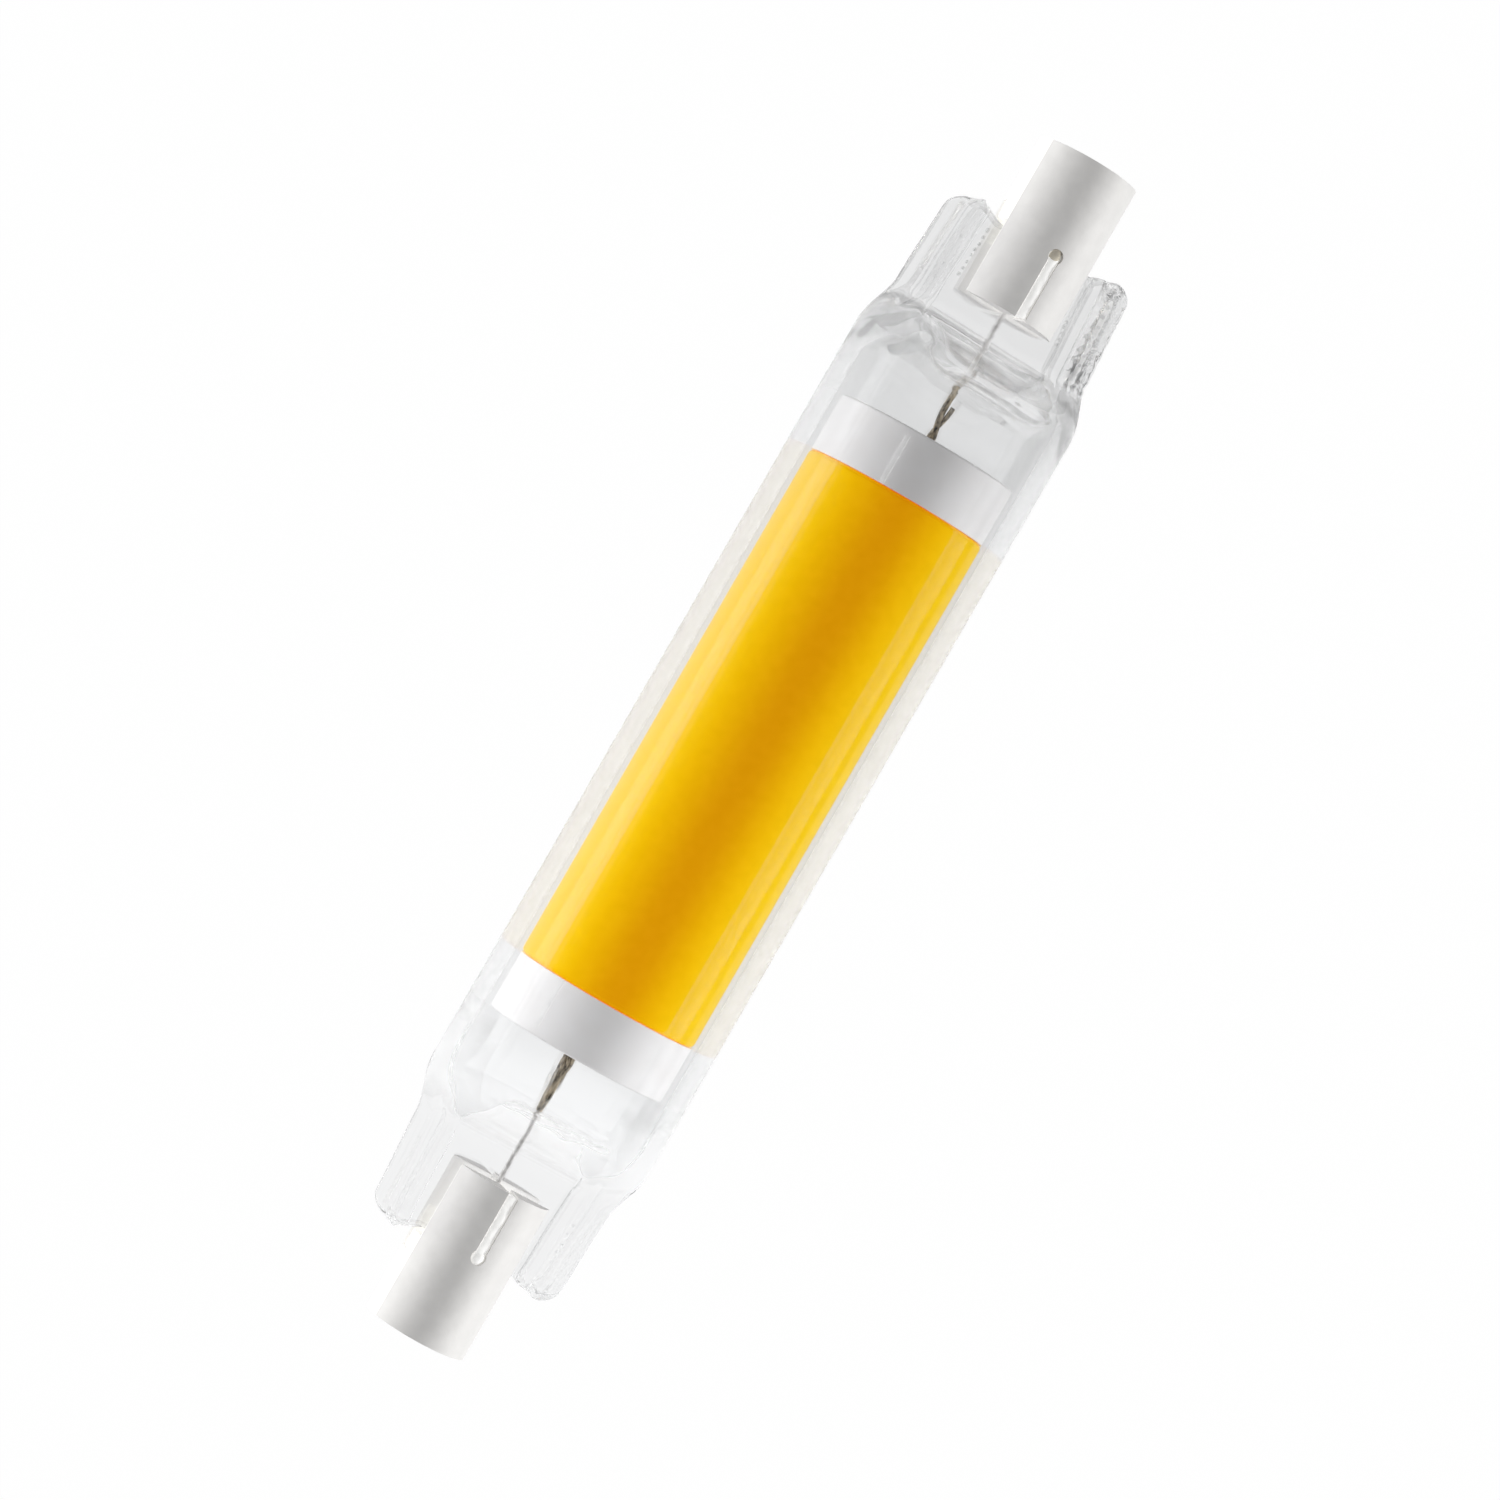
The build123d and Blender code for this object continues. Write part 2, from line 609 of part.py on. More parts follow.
def save(name, shapes):
    """Write one node as a STEP file; a list becomes a group of separate solids."""
    if isinstance(shapes, list):
        shapes = Compound(children=shapes)
    export_step(shapes, os.path.join("parts", name + ".step"))


def main():
    os.makedirs("parts", exist_ok=True)
    save("glass_envelope", glass_envelope())
    for side in SIDES:
        save("cap_" + side, cap(side))
        save("contact_" + side, contact(side))
        save("cap_cement_" + side, cap_cement(side))
        save("seal_wire_" + side, seal_wire(side))
        save("feed_line_" + side, feed_line(side))
        save("end_disc_" + side, end_disc(side))
        save("solder_" + side, solder(side))
    save("lead_right", twin_lead("right"))
    save("lead_left", bundle_lead("left"))
    save("light_tube", light_tube())
    save("light_chips", chip_blocks(0, 0))
    save("light_coating", coating())
    save("driver_board", driver_board())
    save("board_pads", board_pads())
    save("rectifier_case", moulded_case(RECTIFIER_SIZE, RECTIFIER_AT))
    save("rectifier_legs", gull_legs(RECTIFIER_SIZE, RECTIFIER_AT, RECTIFIER_LEG_GAP, 2))
    save("driver_chip_case", moulded_case(CHIP_CASE_SIZE, CHIP_CASE_AT))
    save("driver_chip_legs", gull_legs(CHIP_CASE_SIZE, CHIP_CASE_AT, CHIP_LEG_GAP, 4))
    save("capacitor", capacitor())
    save("fuse_body", fuse_body())
    save("fuse_caps", fuse_caps())
    save("sense_resistors", sense_resistors())


main()
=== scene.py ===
import json
import math

import bmesh
import bpy
from mathutils import Matrix, Vector, noise


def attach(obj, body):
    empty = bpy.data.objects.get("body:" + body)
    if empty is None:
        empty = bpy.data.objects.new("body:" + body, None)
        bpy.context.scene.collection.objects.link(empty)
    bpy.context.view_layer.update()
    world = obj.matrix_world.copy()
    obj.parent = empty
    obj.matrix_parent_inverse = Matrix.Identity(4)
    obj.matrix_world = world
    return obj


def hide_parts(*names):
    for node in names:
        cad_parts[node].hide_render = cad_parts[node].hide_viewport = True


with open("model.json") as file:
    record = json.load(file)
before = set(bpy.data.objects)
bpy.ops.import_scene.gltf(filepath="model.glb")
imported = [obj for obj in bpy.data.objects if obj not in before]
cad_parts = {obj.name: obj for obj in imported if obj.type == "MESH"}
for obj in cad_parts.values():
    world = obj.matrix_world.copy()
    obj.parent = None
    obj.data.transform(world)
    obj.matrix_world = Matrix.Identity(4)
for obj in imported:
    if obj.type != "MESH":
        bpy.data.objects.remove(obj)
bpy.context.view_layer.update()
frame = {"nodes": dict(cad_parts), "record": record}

# Sizes in millimetres, as in the part's source; the lamp lies along X with its flat seals in XY.
MM = 0.001

RESTING_RADIUS = 7.175
GLASS_RADIUS = 7.17
HOLLOW_RADIUS = 6.075
SHOULDER_START = 22.3
SHOULDER_END = 28.0
SHOULDER_POWER = 1.25
WAIST_START = 24.0
HOLLOW_START = 22.9
HOLLOW_REACH = 24.9
HOLLOW_PINCH = 0.07
CREASE_HALF = 0.10
CREASE_LEAN = 0.035
CREASE_STRAY = 0.3
LOBE_HALF = 0.42
LOBE_REACH = 1.5
LOBE_AT = 4.6
LOBE_WIDTH = 0.8
JAW_SQUARENESS = 6
JAW_OPEN = 1.35
JAW_SHUT = 1.1
WEB_HALF = 1.0
RIB_HALF = 2.0
RIB_ROOT = 25.6
CORNER_SOFTNESS = 0.42
CORNER_SAMPLES = 9
RIB_WIDTH = 1.65
RIB_BASE_HALF_WIDTH = 6.15
RIB_TIP_HALF_WIDTH = 5.85
WEB_REACH = 33.8
WEB_LOW = 33.5
WEB_SLOPE_FROM = 3.0
WEB_SLOPE_WIDTH = 2.1
RIB_REACH = 34.35
TIP_ROUNDING = 0.7
TIP_DOME = 0.35
TIP_MARGIN = 0.05
RIB_CORNER = 0.6
RIB_PULL_FROM = 4.6
CALM_STRETCH = (32.4, 33.6)

CAP_RADIUS = 3.2
CAP_INNER = 29.0
CAP_OUTER = 39.0
CAP_SLOT_END = 34.9
CAP_SLOT_WIDTH = 2.2
CROSS_SLOT_WIDTH = 0.68
KEYHOLE_AT = 33.1
KEYHOLE_RADIUS = 0.46
RECESS_RADIUS = 1.8
CONTACT_FACE = 37.45
CONTACT_SEAT = 37.05
CONTACT_HEAD_RADIUS = 1.45
CONTACT_SHANK_RADIUS = 0.8
CONTACT_CLEARANCE = 0.03
CAP_SOFTNESS = 0.09
CUT_ACROSS = 8.0
CUT_OVERRUN = 0.2
HEAD_CUT = 1.0
SHANK_CUT = 4.0

FILL_INSET = 0.12
FILL_BELOW = 0.06
FILL_DEPTH = 1.0
FILL_GAP = 0.06
BEAD_GAP = 0.02
BEAD_DEPTH = 0.42

TUBE_RADIUS = 5.68
TUBE_BORE_RADIUS = 4.7
TUBE_END = 20.3
COATING_END = 16.7
COATING_FLOOR = 5.28
COATING_RADIUS = 5.71
LEAD_FOOT = 20.0
WELD_REACH = 24.3

# Corners of a ring of the glass and rings in each of its stretches
RING = 256
SHOULDER_RINGS = 46
WEB_RINGS = 18
TIP_RINGS = 9
HOLLOW_RINGS = 26

SIDES = {"right": 1, "left": -1}
CAMERA_TILT = math.radians(19.0)
AXIS_LEAN = math.radians(29.97)
CAMERA_DISTANCE = 0.275
FRAME_WIDTH = 0.0869
SENSOR = 36.0
PHOTO_WIDTH = 1500
PHOTO_SHIFT = -1.5

# Light and floor: places in metres or as a direction, greys as a share of white
SOFTBOX_DISTANCE = 0.24
SOFTBOX_WIDTH = 0.12
SOFTBOX_LENGTH = 0.30
SOFTBOX_SHIFT = -0.045
STRIP_RISE = (0.0, 0.14)
STRIP_HALF_WIDTH = (0.11, 0.22)
WALL_GREY = (0.62, 0.78)
WALL_PLACE = (-0.7, 0.2)
END_GREY = 0.9
AMBIENT_GREY = (0.38, 0.335)
AMBIENT_RISE = (0.0, 0.9)
FLOOR_Z = -RESTING_RADIUS * MM
FLOOR_SIZE = 3.0
FLOOR_GREY = 0.12
FLOOR_WHITE_SHARE = 0.996
RIGHT_GLOW = (0.60, 1.0)
RIGHT_GLOW_PLACE = (-0.09, -0.03)
LEFT_GLOW = (1.0, 0.45)
LEFT_GLOW_PLACE = (0.08, 0.35)


# Helpers

def deselect():
    """Nothing selected and nothing in edit mode."""
    if bpy.context.object and bpy.context.object.mode != "OBJECT":
        bpy.ops.object.mode_set(mode="OBJECT")
    bpy.ops.object.select_all(action="DESELECT")


def make_active(piece):
    """Only this piece selected and active."""
    deselect()
    piece.select_set(True)
    bpy.context.view_layer.objects.active = piece


def settle(piece):
    """Place, turn and size go into the mesh."""
    make_active(piece)
    bpy.ops.object.transform_apply(location=True, rotation=True, scale=True)


def copied(piece, name):
    """Copy of a piece with a mesh of its own."""
    twin = piece.copy()
    twin.data = piece.data.copy()
    twin.name = name
    bpy.context.collection.objects.link(twin)
    return twin


def discard(piece):
    """Take a blank and its mesh away."""
    mesh = piece.data
    bpy.data.objects.remove(piece)
    bpy.data.meshes.remove(mesh)


def face_all(piece, inside):
    """Turn every face outward, or into the air that the piece encloses."""
    make_active(piece)
    bpy.ops.object.mode_set(mode="EDIT")
    bpy.ops.mesh.select_all(action="SELECT")
    bpy.ops.mesh.normals_make_consistent(inside=inside)
    bpy.ops.object.mode_set(mode="OBJECT")


def scale_to_metres(piece):
    """The mesh was drawn in millimetres."""
    piece.data.transform(Matrix.Scale(MM, 4))


def smooth(piece, degrees=35.0):
    """Smooth faces with sharp edges past an angle."""
    make_active(piece)
    bpy.ops.object.shade_smooth_by_angle(angle=math.radians(degrees))


def apply_all(piece):
    """Apply every modifier of the piece in order."""
    make_active(piece)
    for modifier in list(piece.modifiers):
        bpy.ops.object.modifier_apply(modifier=modifier.name)


def finish_piece(piece, material, nodes, degrees=35.0):
    """Material, riding body, slot and the nodes that the piece stands for."""
    scale_to_metres(piece)
    smooth(piece, degrees)
    piece.data.materials.clear()
    piece.data.materials.append(material)
    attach(piece, "root")
    if nodes:
        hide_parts(*nodes)


def fall(position, start, end, power=SHOULDER_POWER):
    """1 before start, 0 after end and a rounded shoulder between."""
    share = min(max((position - start) / (end - start), 0.0), 1.0)
    return 0.5 + 0.5 * math.cos(math.pi * share**power)


def bump(value, centre, width):
    """Round hill of height 1 about a centre."""
    return math.exp(-((value - centre) / width) ** 2)


# Camera, light and floor

def place_camera():
    """The photograph's view: nearly straight down, with the lamp leaning to the right."""
    toward = Vector((0, math.sin(CAMERA_TILT), math.cos(CAMERA_TILT)))
    along = Vector((1, 0, 0))
    across = Vector((0, -math.cos(CAMERA_TILT), math.sin(CAMERA_TILT)))
    up = along * math.cos(AXIS_LEAN) - across * math.sin(AXIS_LEAN)
    right = along * math.sin(AXIS_LEAN) + across * math.cos(AXIS_LEAN)
    offset = (right + up) * PHOTO_SHIFT * (FRAME_WIDTH / PHOTO_WIDTH)
    turn = Matrix((right, up, toward)).transposed()
    data = bpy.data.cameras.new("photo_camera")
    data.sensor_width = SENSOR
    data.lens = SENSOR * CAMERA_DISTANCE / FRAME_WIDTH
    data.clip_start = 0.005
    camera = bpy.data.objects.new("photo_camera", data)
    bpy.context.collection.objects.link(camera)
    camera.matrix_world = Matrix.Translation(toward * CAMERA_DISTANCE + offset) @ turn.to_4x4()
    bpy.context.scene.camera = camera


def softbox(name, angle, power):
    """Long area light parallel to the lamp; angle is from straight up towards +Y, in degrees."""
    data = bpy.data.lights.new(name, "AREA")
    data.shape = "RECTANGLE"
    data.size = SOFTBOX_WIDTH
    data.size_y = SOFTBOX_LENGTH
    data.energy = power
    light = bpy.data.objects.new(name, data)
    bpy.context.collection.objects.link(light)
    turn = math.radians(angle)
    back = Vector((0, math.sin(turn), math.cos(turn)))
    along = Vector((1, 0, 0))
    side = along.cross(back)
    matrix = Matrix((side, along, side.cross(along))).transposed()
    place = back * SOFTBOX_DISTANCE + along * SOFTBOX_SHIFT
    light.matrix_world = Matrix.Translation(place) @ matrix.to_4x4()
    light.visible_glossy = False
    light.visible_transmission = False


def add_nodes(tree):
    """Short form for a new node."""
    def node(kind, **values):
        made = tree.nodes.new(kind)
        for key, value in values.items():
            setattr(made, key, value)
        return made
    return node


def smooth_ramp(tree, node, source, low, high, start, stop):
    """Smooth step from low to high between two values of the source."""
    ramp = node("ShaderNodeMapRange", interpolation_type="SMOOTHSTEP")
    ramp.inputs["From Min"].default_value = start
    ramp.inputs["From Max"].default_value = stop
    ramp.inputs["To Min"].default_value = low
    ramp.inputs["To Max"].default_value = high
    tree.links.new(source, ramp.inputs["Value"])
    return ramp.outputs["Result"]


def combine(tree, node, operation, first, second):
    """One maths step on two sockets."""
    step = node("ShaderNodeMath", operation=operation)
    tree.links.new(first, step.inputs[0])
    tree.links.new(second, step.inputs[1])
    return step.outputs[0]


def own_place(tree, node):
    """Object coordinates of the piece, whole and in parts."""
    place = node("ShaderNodeTexCoord")
    parts = node("ShaderNodeSeparateXYZ")
    tree.links.new(place.outputs["Object"], parts.inputs[0])
    return place.outputs["Object"], parts.outputs


def studio_world():
    """Bright room with a dark strip overhead that lies across the lamp; white for the camera."""
    world = bpy.data.worlds.new("studio")
    bpy.context.scene.world = world
    world.use_nodes = True
    tree = world.node_tree
    tree.nodes.clear()
    node = add_nodes(tree)
    link = tree.links.new
    place = node("ShaderNodeTexCoord")
    parts = node("ShaderNodeSeparateXYZ")
    path = node("ShaderNodeLightPath")
    back = node("ShaderNodeBackground")
    out = node("ShaderNodeOutputWorld")
    link(place.outputs["Generated"], parts.inputs[0])
    side = node("ShaderNodeMath", operation="ABSOLUTE")
    link(parts.outputs["X"], side.inputs[0])
    overhead = smooth_ramp(tree, node, parts.outputs["Z"], 0.0, 1.0, *STRIP_RISE)
    middle = smooth_ramp(tree, node, side.outputs[0], 1.0, 0.0, *STRIP_HALF_WIDTH)
    strip = combine(tree, node, "MULTIPLY", overhead, middle)
    walls = smooth_ramp(tree, node, parts.outputs["Y"], *WALL_GREY, *WALL_PLACE)
    lit = node("ShaderNodeMix", data_type="FLOAT")
    lit.inputs[2].default_value = END_GREY
    link(middle, lit.inputs[0])
    link(walls, lit.inputs[3])
    open_share = smooth_ramp(tree, node, strip, 1.0, 0.0, 0.0, 1.0)
    mirrored = combine(tree, node, "MULTIPLY", open_share, lit.outputs[0])
    ambient = smooth_ramp(tree, node, parts.outputs["Z"], *AMBIENT_GREY, *AMBIENT_RISE)
    for_light = node("ShaderNodeMix", data_type="FLOAT")
    link(path.outputs["Is Diffuse Ray"], for_light.inputs[0])
    link(mirrored, for_light.inputs[2])
    link(ambient, for_light.inputs[3])
    for_camera = node("ShaderNodeMix", data_type="FLOAT")
    for_camera.inputs[3].default_value = 1.0
    link(path.outputs["Is Camera Ray"], for_camera.inputs[0])
    link(for_light.outputs[0], for_camera.inputs[2])
    link(for_camera.outputs[0], back.inputs["Color"])
    link(back.outputs[0], out.inputs["Surface"])


def studio_floor():
    """Light table that shows white, keeps a faint shadow and lets light up through it."""
    deselect()
    bpy.ops.mesh.primitive_plane_add(size=FLOOR_SIZE, location=(0, 0, FLOOR_Z))
    floor = bpy.context.object
    floor.name = "studio_floor"
    material = bpy.data.materials.new("floor_white")
    material.use_nodes = True
    tree = material.node_tree
    tree.nodes.clear()
    node = add_nodes(tree)
    diffuse = node("ShaderNodeBsdfDiffuse")
    diffuse.inputs["Color"].default_value = (FLOOR_GREY, FLOOR_GREY, FLOOR_GREY, 1)
    white = node("ShaderNodeEmission")
    white.inputs["Color"].default_value = (1, 1, 1, 1)
    path = node("ShaderNodeLightPath")
    camera = path.outputs["Is Camera Ray"]
    mix = node("ShaderNodeMixShader")
    out = node("ShaderNodeOutputMaterial")
    link = tree.links.new
    place, parts = own_place(tree, node)
    right = smooth_ramp(tree, node, parts["Y"], *RIGHT_GLOW, *RIGHT_GLOW_PLACE)
    left = smooth_ramp(tree, node, parts["Y"], *LEFT_GLOW, *LEFT_GLOW_PLACE)
    glow = combine(tree, node, "MULTIPLY", right, left)
    link(combine(tree, node, "MAXIMUM", glow, camera), white.inputs["Strength"])
    share = node("ShaderNodeMath", operation="MULTIPLY")
    share.inputs[1].default_value = FLOOR_WHITE_SHARE
    link(combine(tree, node, "MAXIMUM", camera, path.outputs["Is Transmission Ray"]),
         share.inputs[0])
    seen = combine(tree, node, "MAXIMUM", share.outputs[0], path.outputs["Is Glossy Ray"])
    link(seen, mix.inputs[0])
    link(diffuse.outputs[0], mix.inputs[1])
    link(white.outputs[0], mix.inputs[2])
    link(mix.outputs[0], out.inputs["Surface"])
    floor.data.materials.append(material)
    floor.visible_shadow = False


# Materials

def new_material(name):
    """Material with an emptied tree, its Principled shader and its output."""
    material = bpy.data.materials.new(name)
    material.use_nodes = True
    tree = material.node_tree
    tree.nodes.clear()
    node = add_nodes(tree)
    shader = node("ShaderNodeBsdfPrincipled")
    out = node("ShaderNodeOutputMaterial")
    tree.links.new(shader.outputs[0], out.inputs["Surface"])
    return material, tree, node, shader, out


def open_again(material):
    """Tree, node maker and main shader of a material that is made already."""
    tree = material.node_tree
    shader = next(n for n in tree.nodes if n.type == "BSDF_PRINCIPLED")
    return tree, add_nodes(tree), shader


def noise_at(tree, node, scale, detail=3.0, stretch=(1, 1, 1)):
    """Noise on the piece's own coordinates, in cycles per millimetre."""
    place = node("ShaderNodeTexCoord")
    mapping = node("ShaderNodeMapping")
    mapping.inputs["Scale"].default_value = [s * scale / MM for s in stretch]
    grain = node("ShaderNodeTexNoise")
    grain.inputs["Scale"].default_value = 1.0
    grain.inputs["Detail"].default_value = detail
    tree.links.new(place.outputs["Object"], mapping.inputs["Vector"])
    tree.links.new(mapping.outputs["Vector"], grain.inputs["Vector"])
    return grain


def ramp_between(tree, node, source, low, high, start=0.35, stop=0.65):
    """Colour ramp from low to high over a noise."""
    ramp = node("ShaderNodeValToRGB")
    ramp.color_ramp.elements[0].position = start
    ramp.color_ramp.elements[0].color = (*low, 1)
    ramp.color_ramp.elements[1].position = stop
    ramp.color_ramp.elements[1].color = (*high, 1)
    tree.links.new(source, ramp.inputs[0])
    return ramp


def bump_from(tree, node, source, shader, height, strength=0.5):
    """Fine relief on the shader from a noise, height in millimetres."""
    relief = node("ShaderNodeBump")
    relief.inputs["Distance"].default_value = height * MM
    relief.inputs["Strength"].default_value = strength
    tree.links.new(source, relief.inputs["Height"])
    tree.links.new(relief.outputs["Normal"], shader.inputs["Normal"])


def plain_material(name, low, high, roughness, grain, relief=0.0, metal=0.0, stretch=(1, 1, 1)):
    """Opaque finish with a mottled colour, uneven roughness and fine relief."""
    material, tree, node, shader, out = new_material(name)
    speckle = noise_at(tree, node, grain, stretch=stretch)
    colour = ramp_between(tree, node, speckle.outputs["Fac"], low, high)
    tree.links.new(colour.outputs["Color"], shader.inputs["Base Color"])
    rough = node("ShaderNodeMapRange")
    rough.inputs["To Min"].default_value = roughness * 0.85
    rough.inputs["To Max"].default_value = roughness * 1.15
    tree.links.new(speckle.outputs["Fac"], rough.inputs["Value"])
    tree.links.new(rough.outputs["Result"], shader.inputs["Roughness"])
    shader.inputs["Metallic"].default_value = metal
    if relief > 0:
        bump_from(tree, node, speckle.outputs["Fac"], shader, relief)
    return material


# Tint of the glass, greyer towards the +X end as painted shade, and share of soft, weakly bending
# glass, by place along the lamp in mm.
GLASS_TINT_AND_SHADE = (
    (-39, 0.90), (-27, 0.90), (-25, 0.975), (-21, 0.985),
    (21, 0.893), (24.5, 0.88), (27, 0.80), (39, 0.79))
SOFT_SHARE = (
    (-39, 0.78), (-28.0, 0.82), (-26.5, 0.92), (-25, 0.92), (-22.5, 0.78), (-21, 0.10),
    (21, 0.08), (23.5, 0.16), (25.2, 0.34), (27.5, 0.50), (39, 0.55))
GLASS_TONE = (0.993, 0.997, 1.0)
HARD_BENDING = 1.5
SOFT_BENDING = 1.03
STREAK_FROM_Y = -5.0
STREAK_FROM_X = 27.6


def along_lamp(tree, node, source, stops, tone=(1.0, 1.0, 1.0)):
    """Ramp over the place along the lamp, from (x in mm, value) stops."""
    share = node("ShaderNodeMapRange")
    share.inputs["From Min"].default_value = -CAP_OUTER * MM
    share.inputs["From Max"].default_value = CAP_OUTER * MM
    tree.links.new(source, share.inputs["Value"])
    ramp = node("ShaderNodeValToRGB")
    elements = ramp.color_ramp.elements
    while len(elements) < len(stops):
        elements.new(0.5)
    for element, (x, value) in zip(elements, stops):
        element.position = (x + CAP_OUTER) / (2 * CAP_OUTER)
        element.color = (value * tone[0], value * tone[1], value * tone[2], 1)
    tree.links.new(share.outputs["Result"], ramp.inputs[0])
    return ramp.outputs["Color"]


def glass_material():
    """Clear glass, softer in the pressed ends, that lets lamp light through to what is inside."""
    material, tree, node, shader, out = new_material("clear_glass")
    link = tree.links.new
    place, parts = own_place(tree, node)
    # Painted shade in the glass's colour: it lets less through towards the +X end.
    tint_and_shade = along_lamp(tree, node, parts["X"], GLASS_TINT_AND_SHADE, GLASS_TONE)
    soft_glass = node("ShaderNodeBsdfPrincipled")
    for glass, bending in ((shader, HARD_BENDING), (soft_glass, SOFT_BENDING)):
        link(tint_and_shade, glass.inputs["Base Color"])
        glass.inputs["Roughness"].default_value = 0.0
        glass.inputs["IOR"].default_value = bending
        glass.inputs["Transmission Weight"].default_value = 1.0
    soft = along_lamp(tree, node, parts["X"], SOFT_SHARE)
    plain_y = smooth_ramp(
        tree, node, parts["Y"], 0.15, 1.0, (STREAK_FROM_Y - 0.4) * MM, STREAK_FROM_Y * MM)
    plain_x = smooth_ramp(
        tree, node, parts["X"], 1.0, 0.0, (STREAK_FROM_X - 0.6) * MM, STREAK_FROM_X * MM)
    plain = combine(tree, node, "MAXIMUM", plain_y, plain_x)
    amount = combine(tree, node, "MULTIPLY", soft, plain)
    both = node("ShaderNodeMixShader")
    link(amount, both.inputs[0])
    link(shader.outputs[0], both.inputs[1])
    link(soft_glass.outputs[0], both.inputs[2])
    path = node("ShaderNodeLightPath")
    unseen = combine(
        tree, node, "MAXIMUM", path.outputs["Is Shadow Ray"], path.outputs["Is Diffuse Ray"])
    clear = node("ShaderNodeBsdfTransparent")
    clear.inputs["Color"].default_value = (0.95, 0.95, 0.955, 1)
    mix = node("ShaderNodeMixShader")
    link(unseen, mix.inputs[0])
    link(both.outputs[0], mix.inputs[1])
    link(clear.outputs[0], mix.inputs[2])
    link(mix.outputs[0], out.inputs["Surface"])
    return material


def coating_material():
    """Yellow silicone full of light-converting powder, satin, with a painted red-orange glow."""
    material, tree, node, shader, out = new_material("coating_yellow")
    speckle = noise_at(tree, node, 1.6, detail=4.0)
    colour = ramp_between(
        tree, node, speckle.outputs["Fac"], (0.62, 0.65, 0.0), (0.66, 0.68, 0.002))
    tree.links.new(colour.outputs["Color"], shader.inputs["Base Color"])
    shader.inputs["Roughness"].default_value = 0.5
    shader.inputs["Specular IOR Level"].default_value = 0.06
    # Painted light: a red-orange emission that warms the shaded middle of the sleeve.
    shader.inputs["Emission Color"].default_value = (1.0, 0.02, 0.0, 1)
    shader.inputs["Emission Strength"].default_value = 0.47
    bump_from(tree, node, speckle.outputs["Fac"], shader, 0.01)
    return material


def tube_material():
    """Fired white ceramic with a painted glow, stronger towards the clearer end of the glass."""
    material = plain_material(
        "tube_ceramic", (0.90, 0.885, 0.875), (0.93, 0.92, 0.915), 0.4, 0.8, relief=0.004)
    tree, node, shader = open_again(material)
    place, parts = own_place(tree, node)
    # Painted light: an emission along the lamp, 0.11 at the -X end down to 0.02 at the +X end.
    painted_tube_glow = along_lamp(tree, node, parts["X"], ((-22, 0.11), (22, 0.02)))
    tree.links.new(painted_tube_glow, shader.inputs["Emission Color"])
    shader.inputs["Emission Strength"].default_value = 1.0
    return material


def cement_with_painted_glow(name, colour, glow):
    """Cement with a painted glow that brightens it, standing in for light from the open slot."""
    low = tuple(value * 0.86 for value in colour)
    material = plain_material(name, low, colour, 0.45, 2.2, relief=0.03)
    tree, node, shader = open_again(material)
    # Painted light: the emission makes the cement glow though it is no lamp.
    shader.inputs["Emission Color"].default_value = (1.0, 0.99, 0.96, 1)
    shader.inputs["Emission Strength"].default_value = glow
    return material


def printed_line():
    """Thin printed line, brightened by a painted glow, that casts no shadow beside itself."""
    material = cement_with_painted_glow("feed_line", (0.95, 0.945, 0.94), 0.12)
    tree, node, shader = open_again(material)
    out = next(n for n in tree.nodes if n.type == "OUTPUT_MATERIAL")
    path = node("ShaderNodeLightPath")
    clear = node("ShaderNodeBsdfTransparent")
    mix = node("ShaderNodeMixShader")
    tree.links.new(path.outputs["Is Shadow Ray"], mix.inputs[0])
    tree.links.new(shader.outputs[0], mix.inputs[1])
    tree.links.new(clear.outputs[0], mix.inputs[2])
    tree.links.new(mix.outputs[0], out.inputs["Surface"])
    return material


def make_materials():
    """Every finish of the lamp by the record's slot."""
    return {
        "clear_glass": glass_material(),
        "cap_ceramic": cap_material(),
        "cement": cement_with_painted_glow("cement", (0.93, 0.92, 0.88), 0.30),
        "slot_cement": cement_with_painted_glow("slot_cement", (0.93, 0.93, 0.92), 0.30),
        "bead_glaze": cement_with_painted_glow("bead_glaze", (0.55, 0.50, 0.40), 0.05),
        "tube_ceramic": tube_material(),
        "coating_yellow": coating_material(),
        "lead_metal": plain_material(
            "lead_metal", (0.012, 0.010, 0.008), (0.62, 0.52, 0.38), 0.34, 4.6, relief=0.03,
            metal=0.75, stretch=(0.5, 1, 1)),
        "feed_line": printed_line(),
        "seal_wire": plain_material(
            "seal_wire", (0.52, 0.51, 0.50), (0.90, 0.89, 0.88), 0.35, 2.4, metal=0.3),
        "solder_metal": plain_material(
            "solder_metal", (0.55, 0.55, 0.56), (0.75, 0.75, 0.76), 0.3, 2.0, relief=0.01,
            metal=1.0),
        "contact_metal": plain_material(
            "contact_metal", (0.62, 0.59, 0.53), (0.74, 0.71, 0.65), 0.35, 2.2, relief=0.01,
            metal=1.0),
        "board_laminate": plain_material(
            "board_laminate", (0.78, 0.8, 0.76), (0.86, 0.87, 0.84), 0.6, 1.5, relief=0.01),
        "case_black": plain_material(
            "case_black", (0.02, 0.02, 0.021), (0.035, 0.035, 0.036), 0.55, 4.0, relief=0.01),
        "can_metal": plain_material(
            "can_metal", (0.62, 0.62, 0.63), (0.74, 0.74, 0.75), 0.35, 1.5, relief=0.005,
            metal=1.0),
        "fuse_lacquer": plain_material(
            "fuse_lacquer", (0.10, 0.22, 0.15), (0.14, 0.27, 0.19), 0.3, 2.0, relief=0.01),
        "chip_face": plain_material(
            "chip_face", (0.5, 0.55, 0.6), (0.65, 0.7, 0.74), 0.2, 3.0),
    }


# Glass body

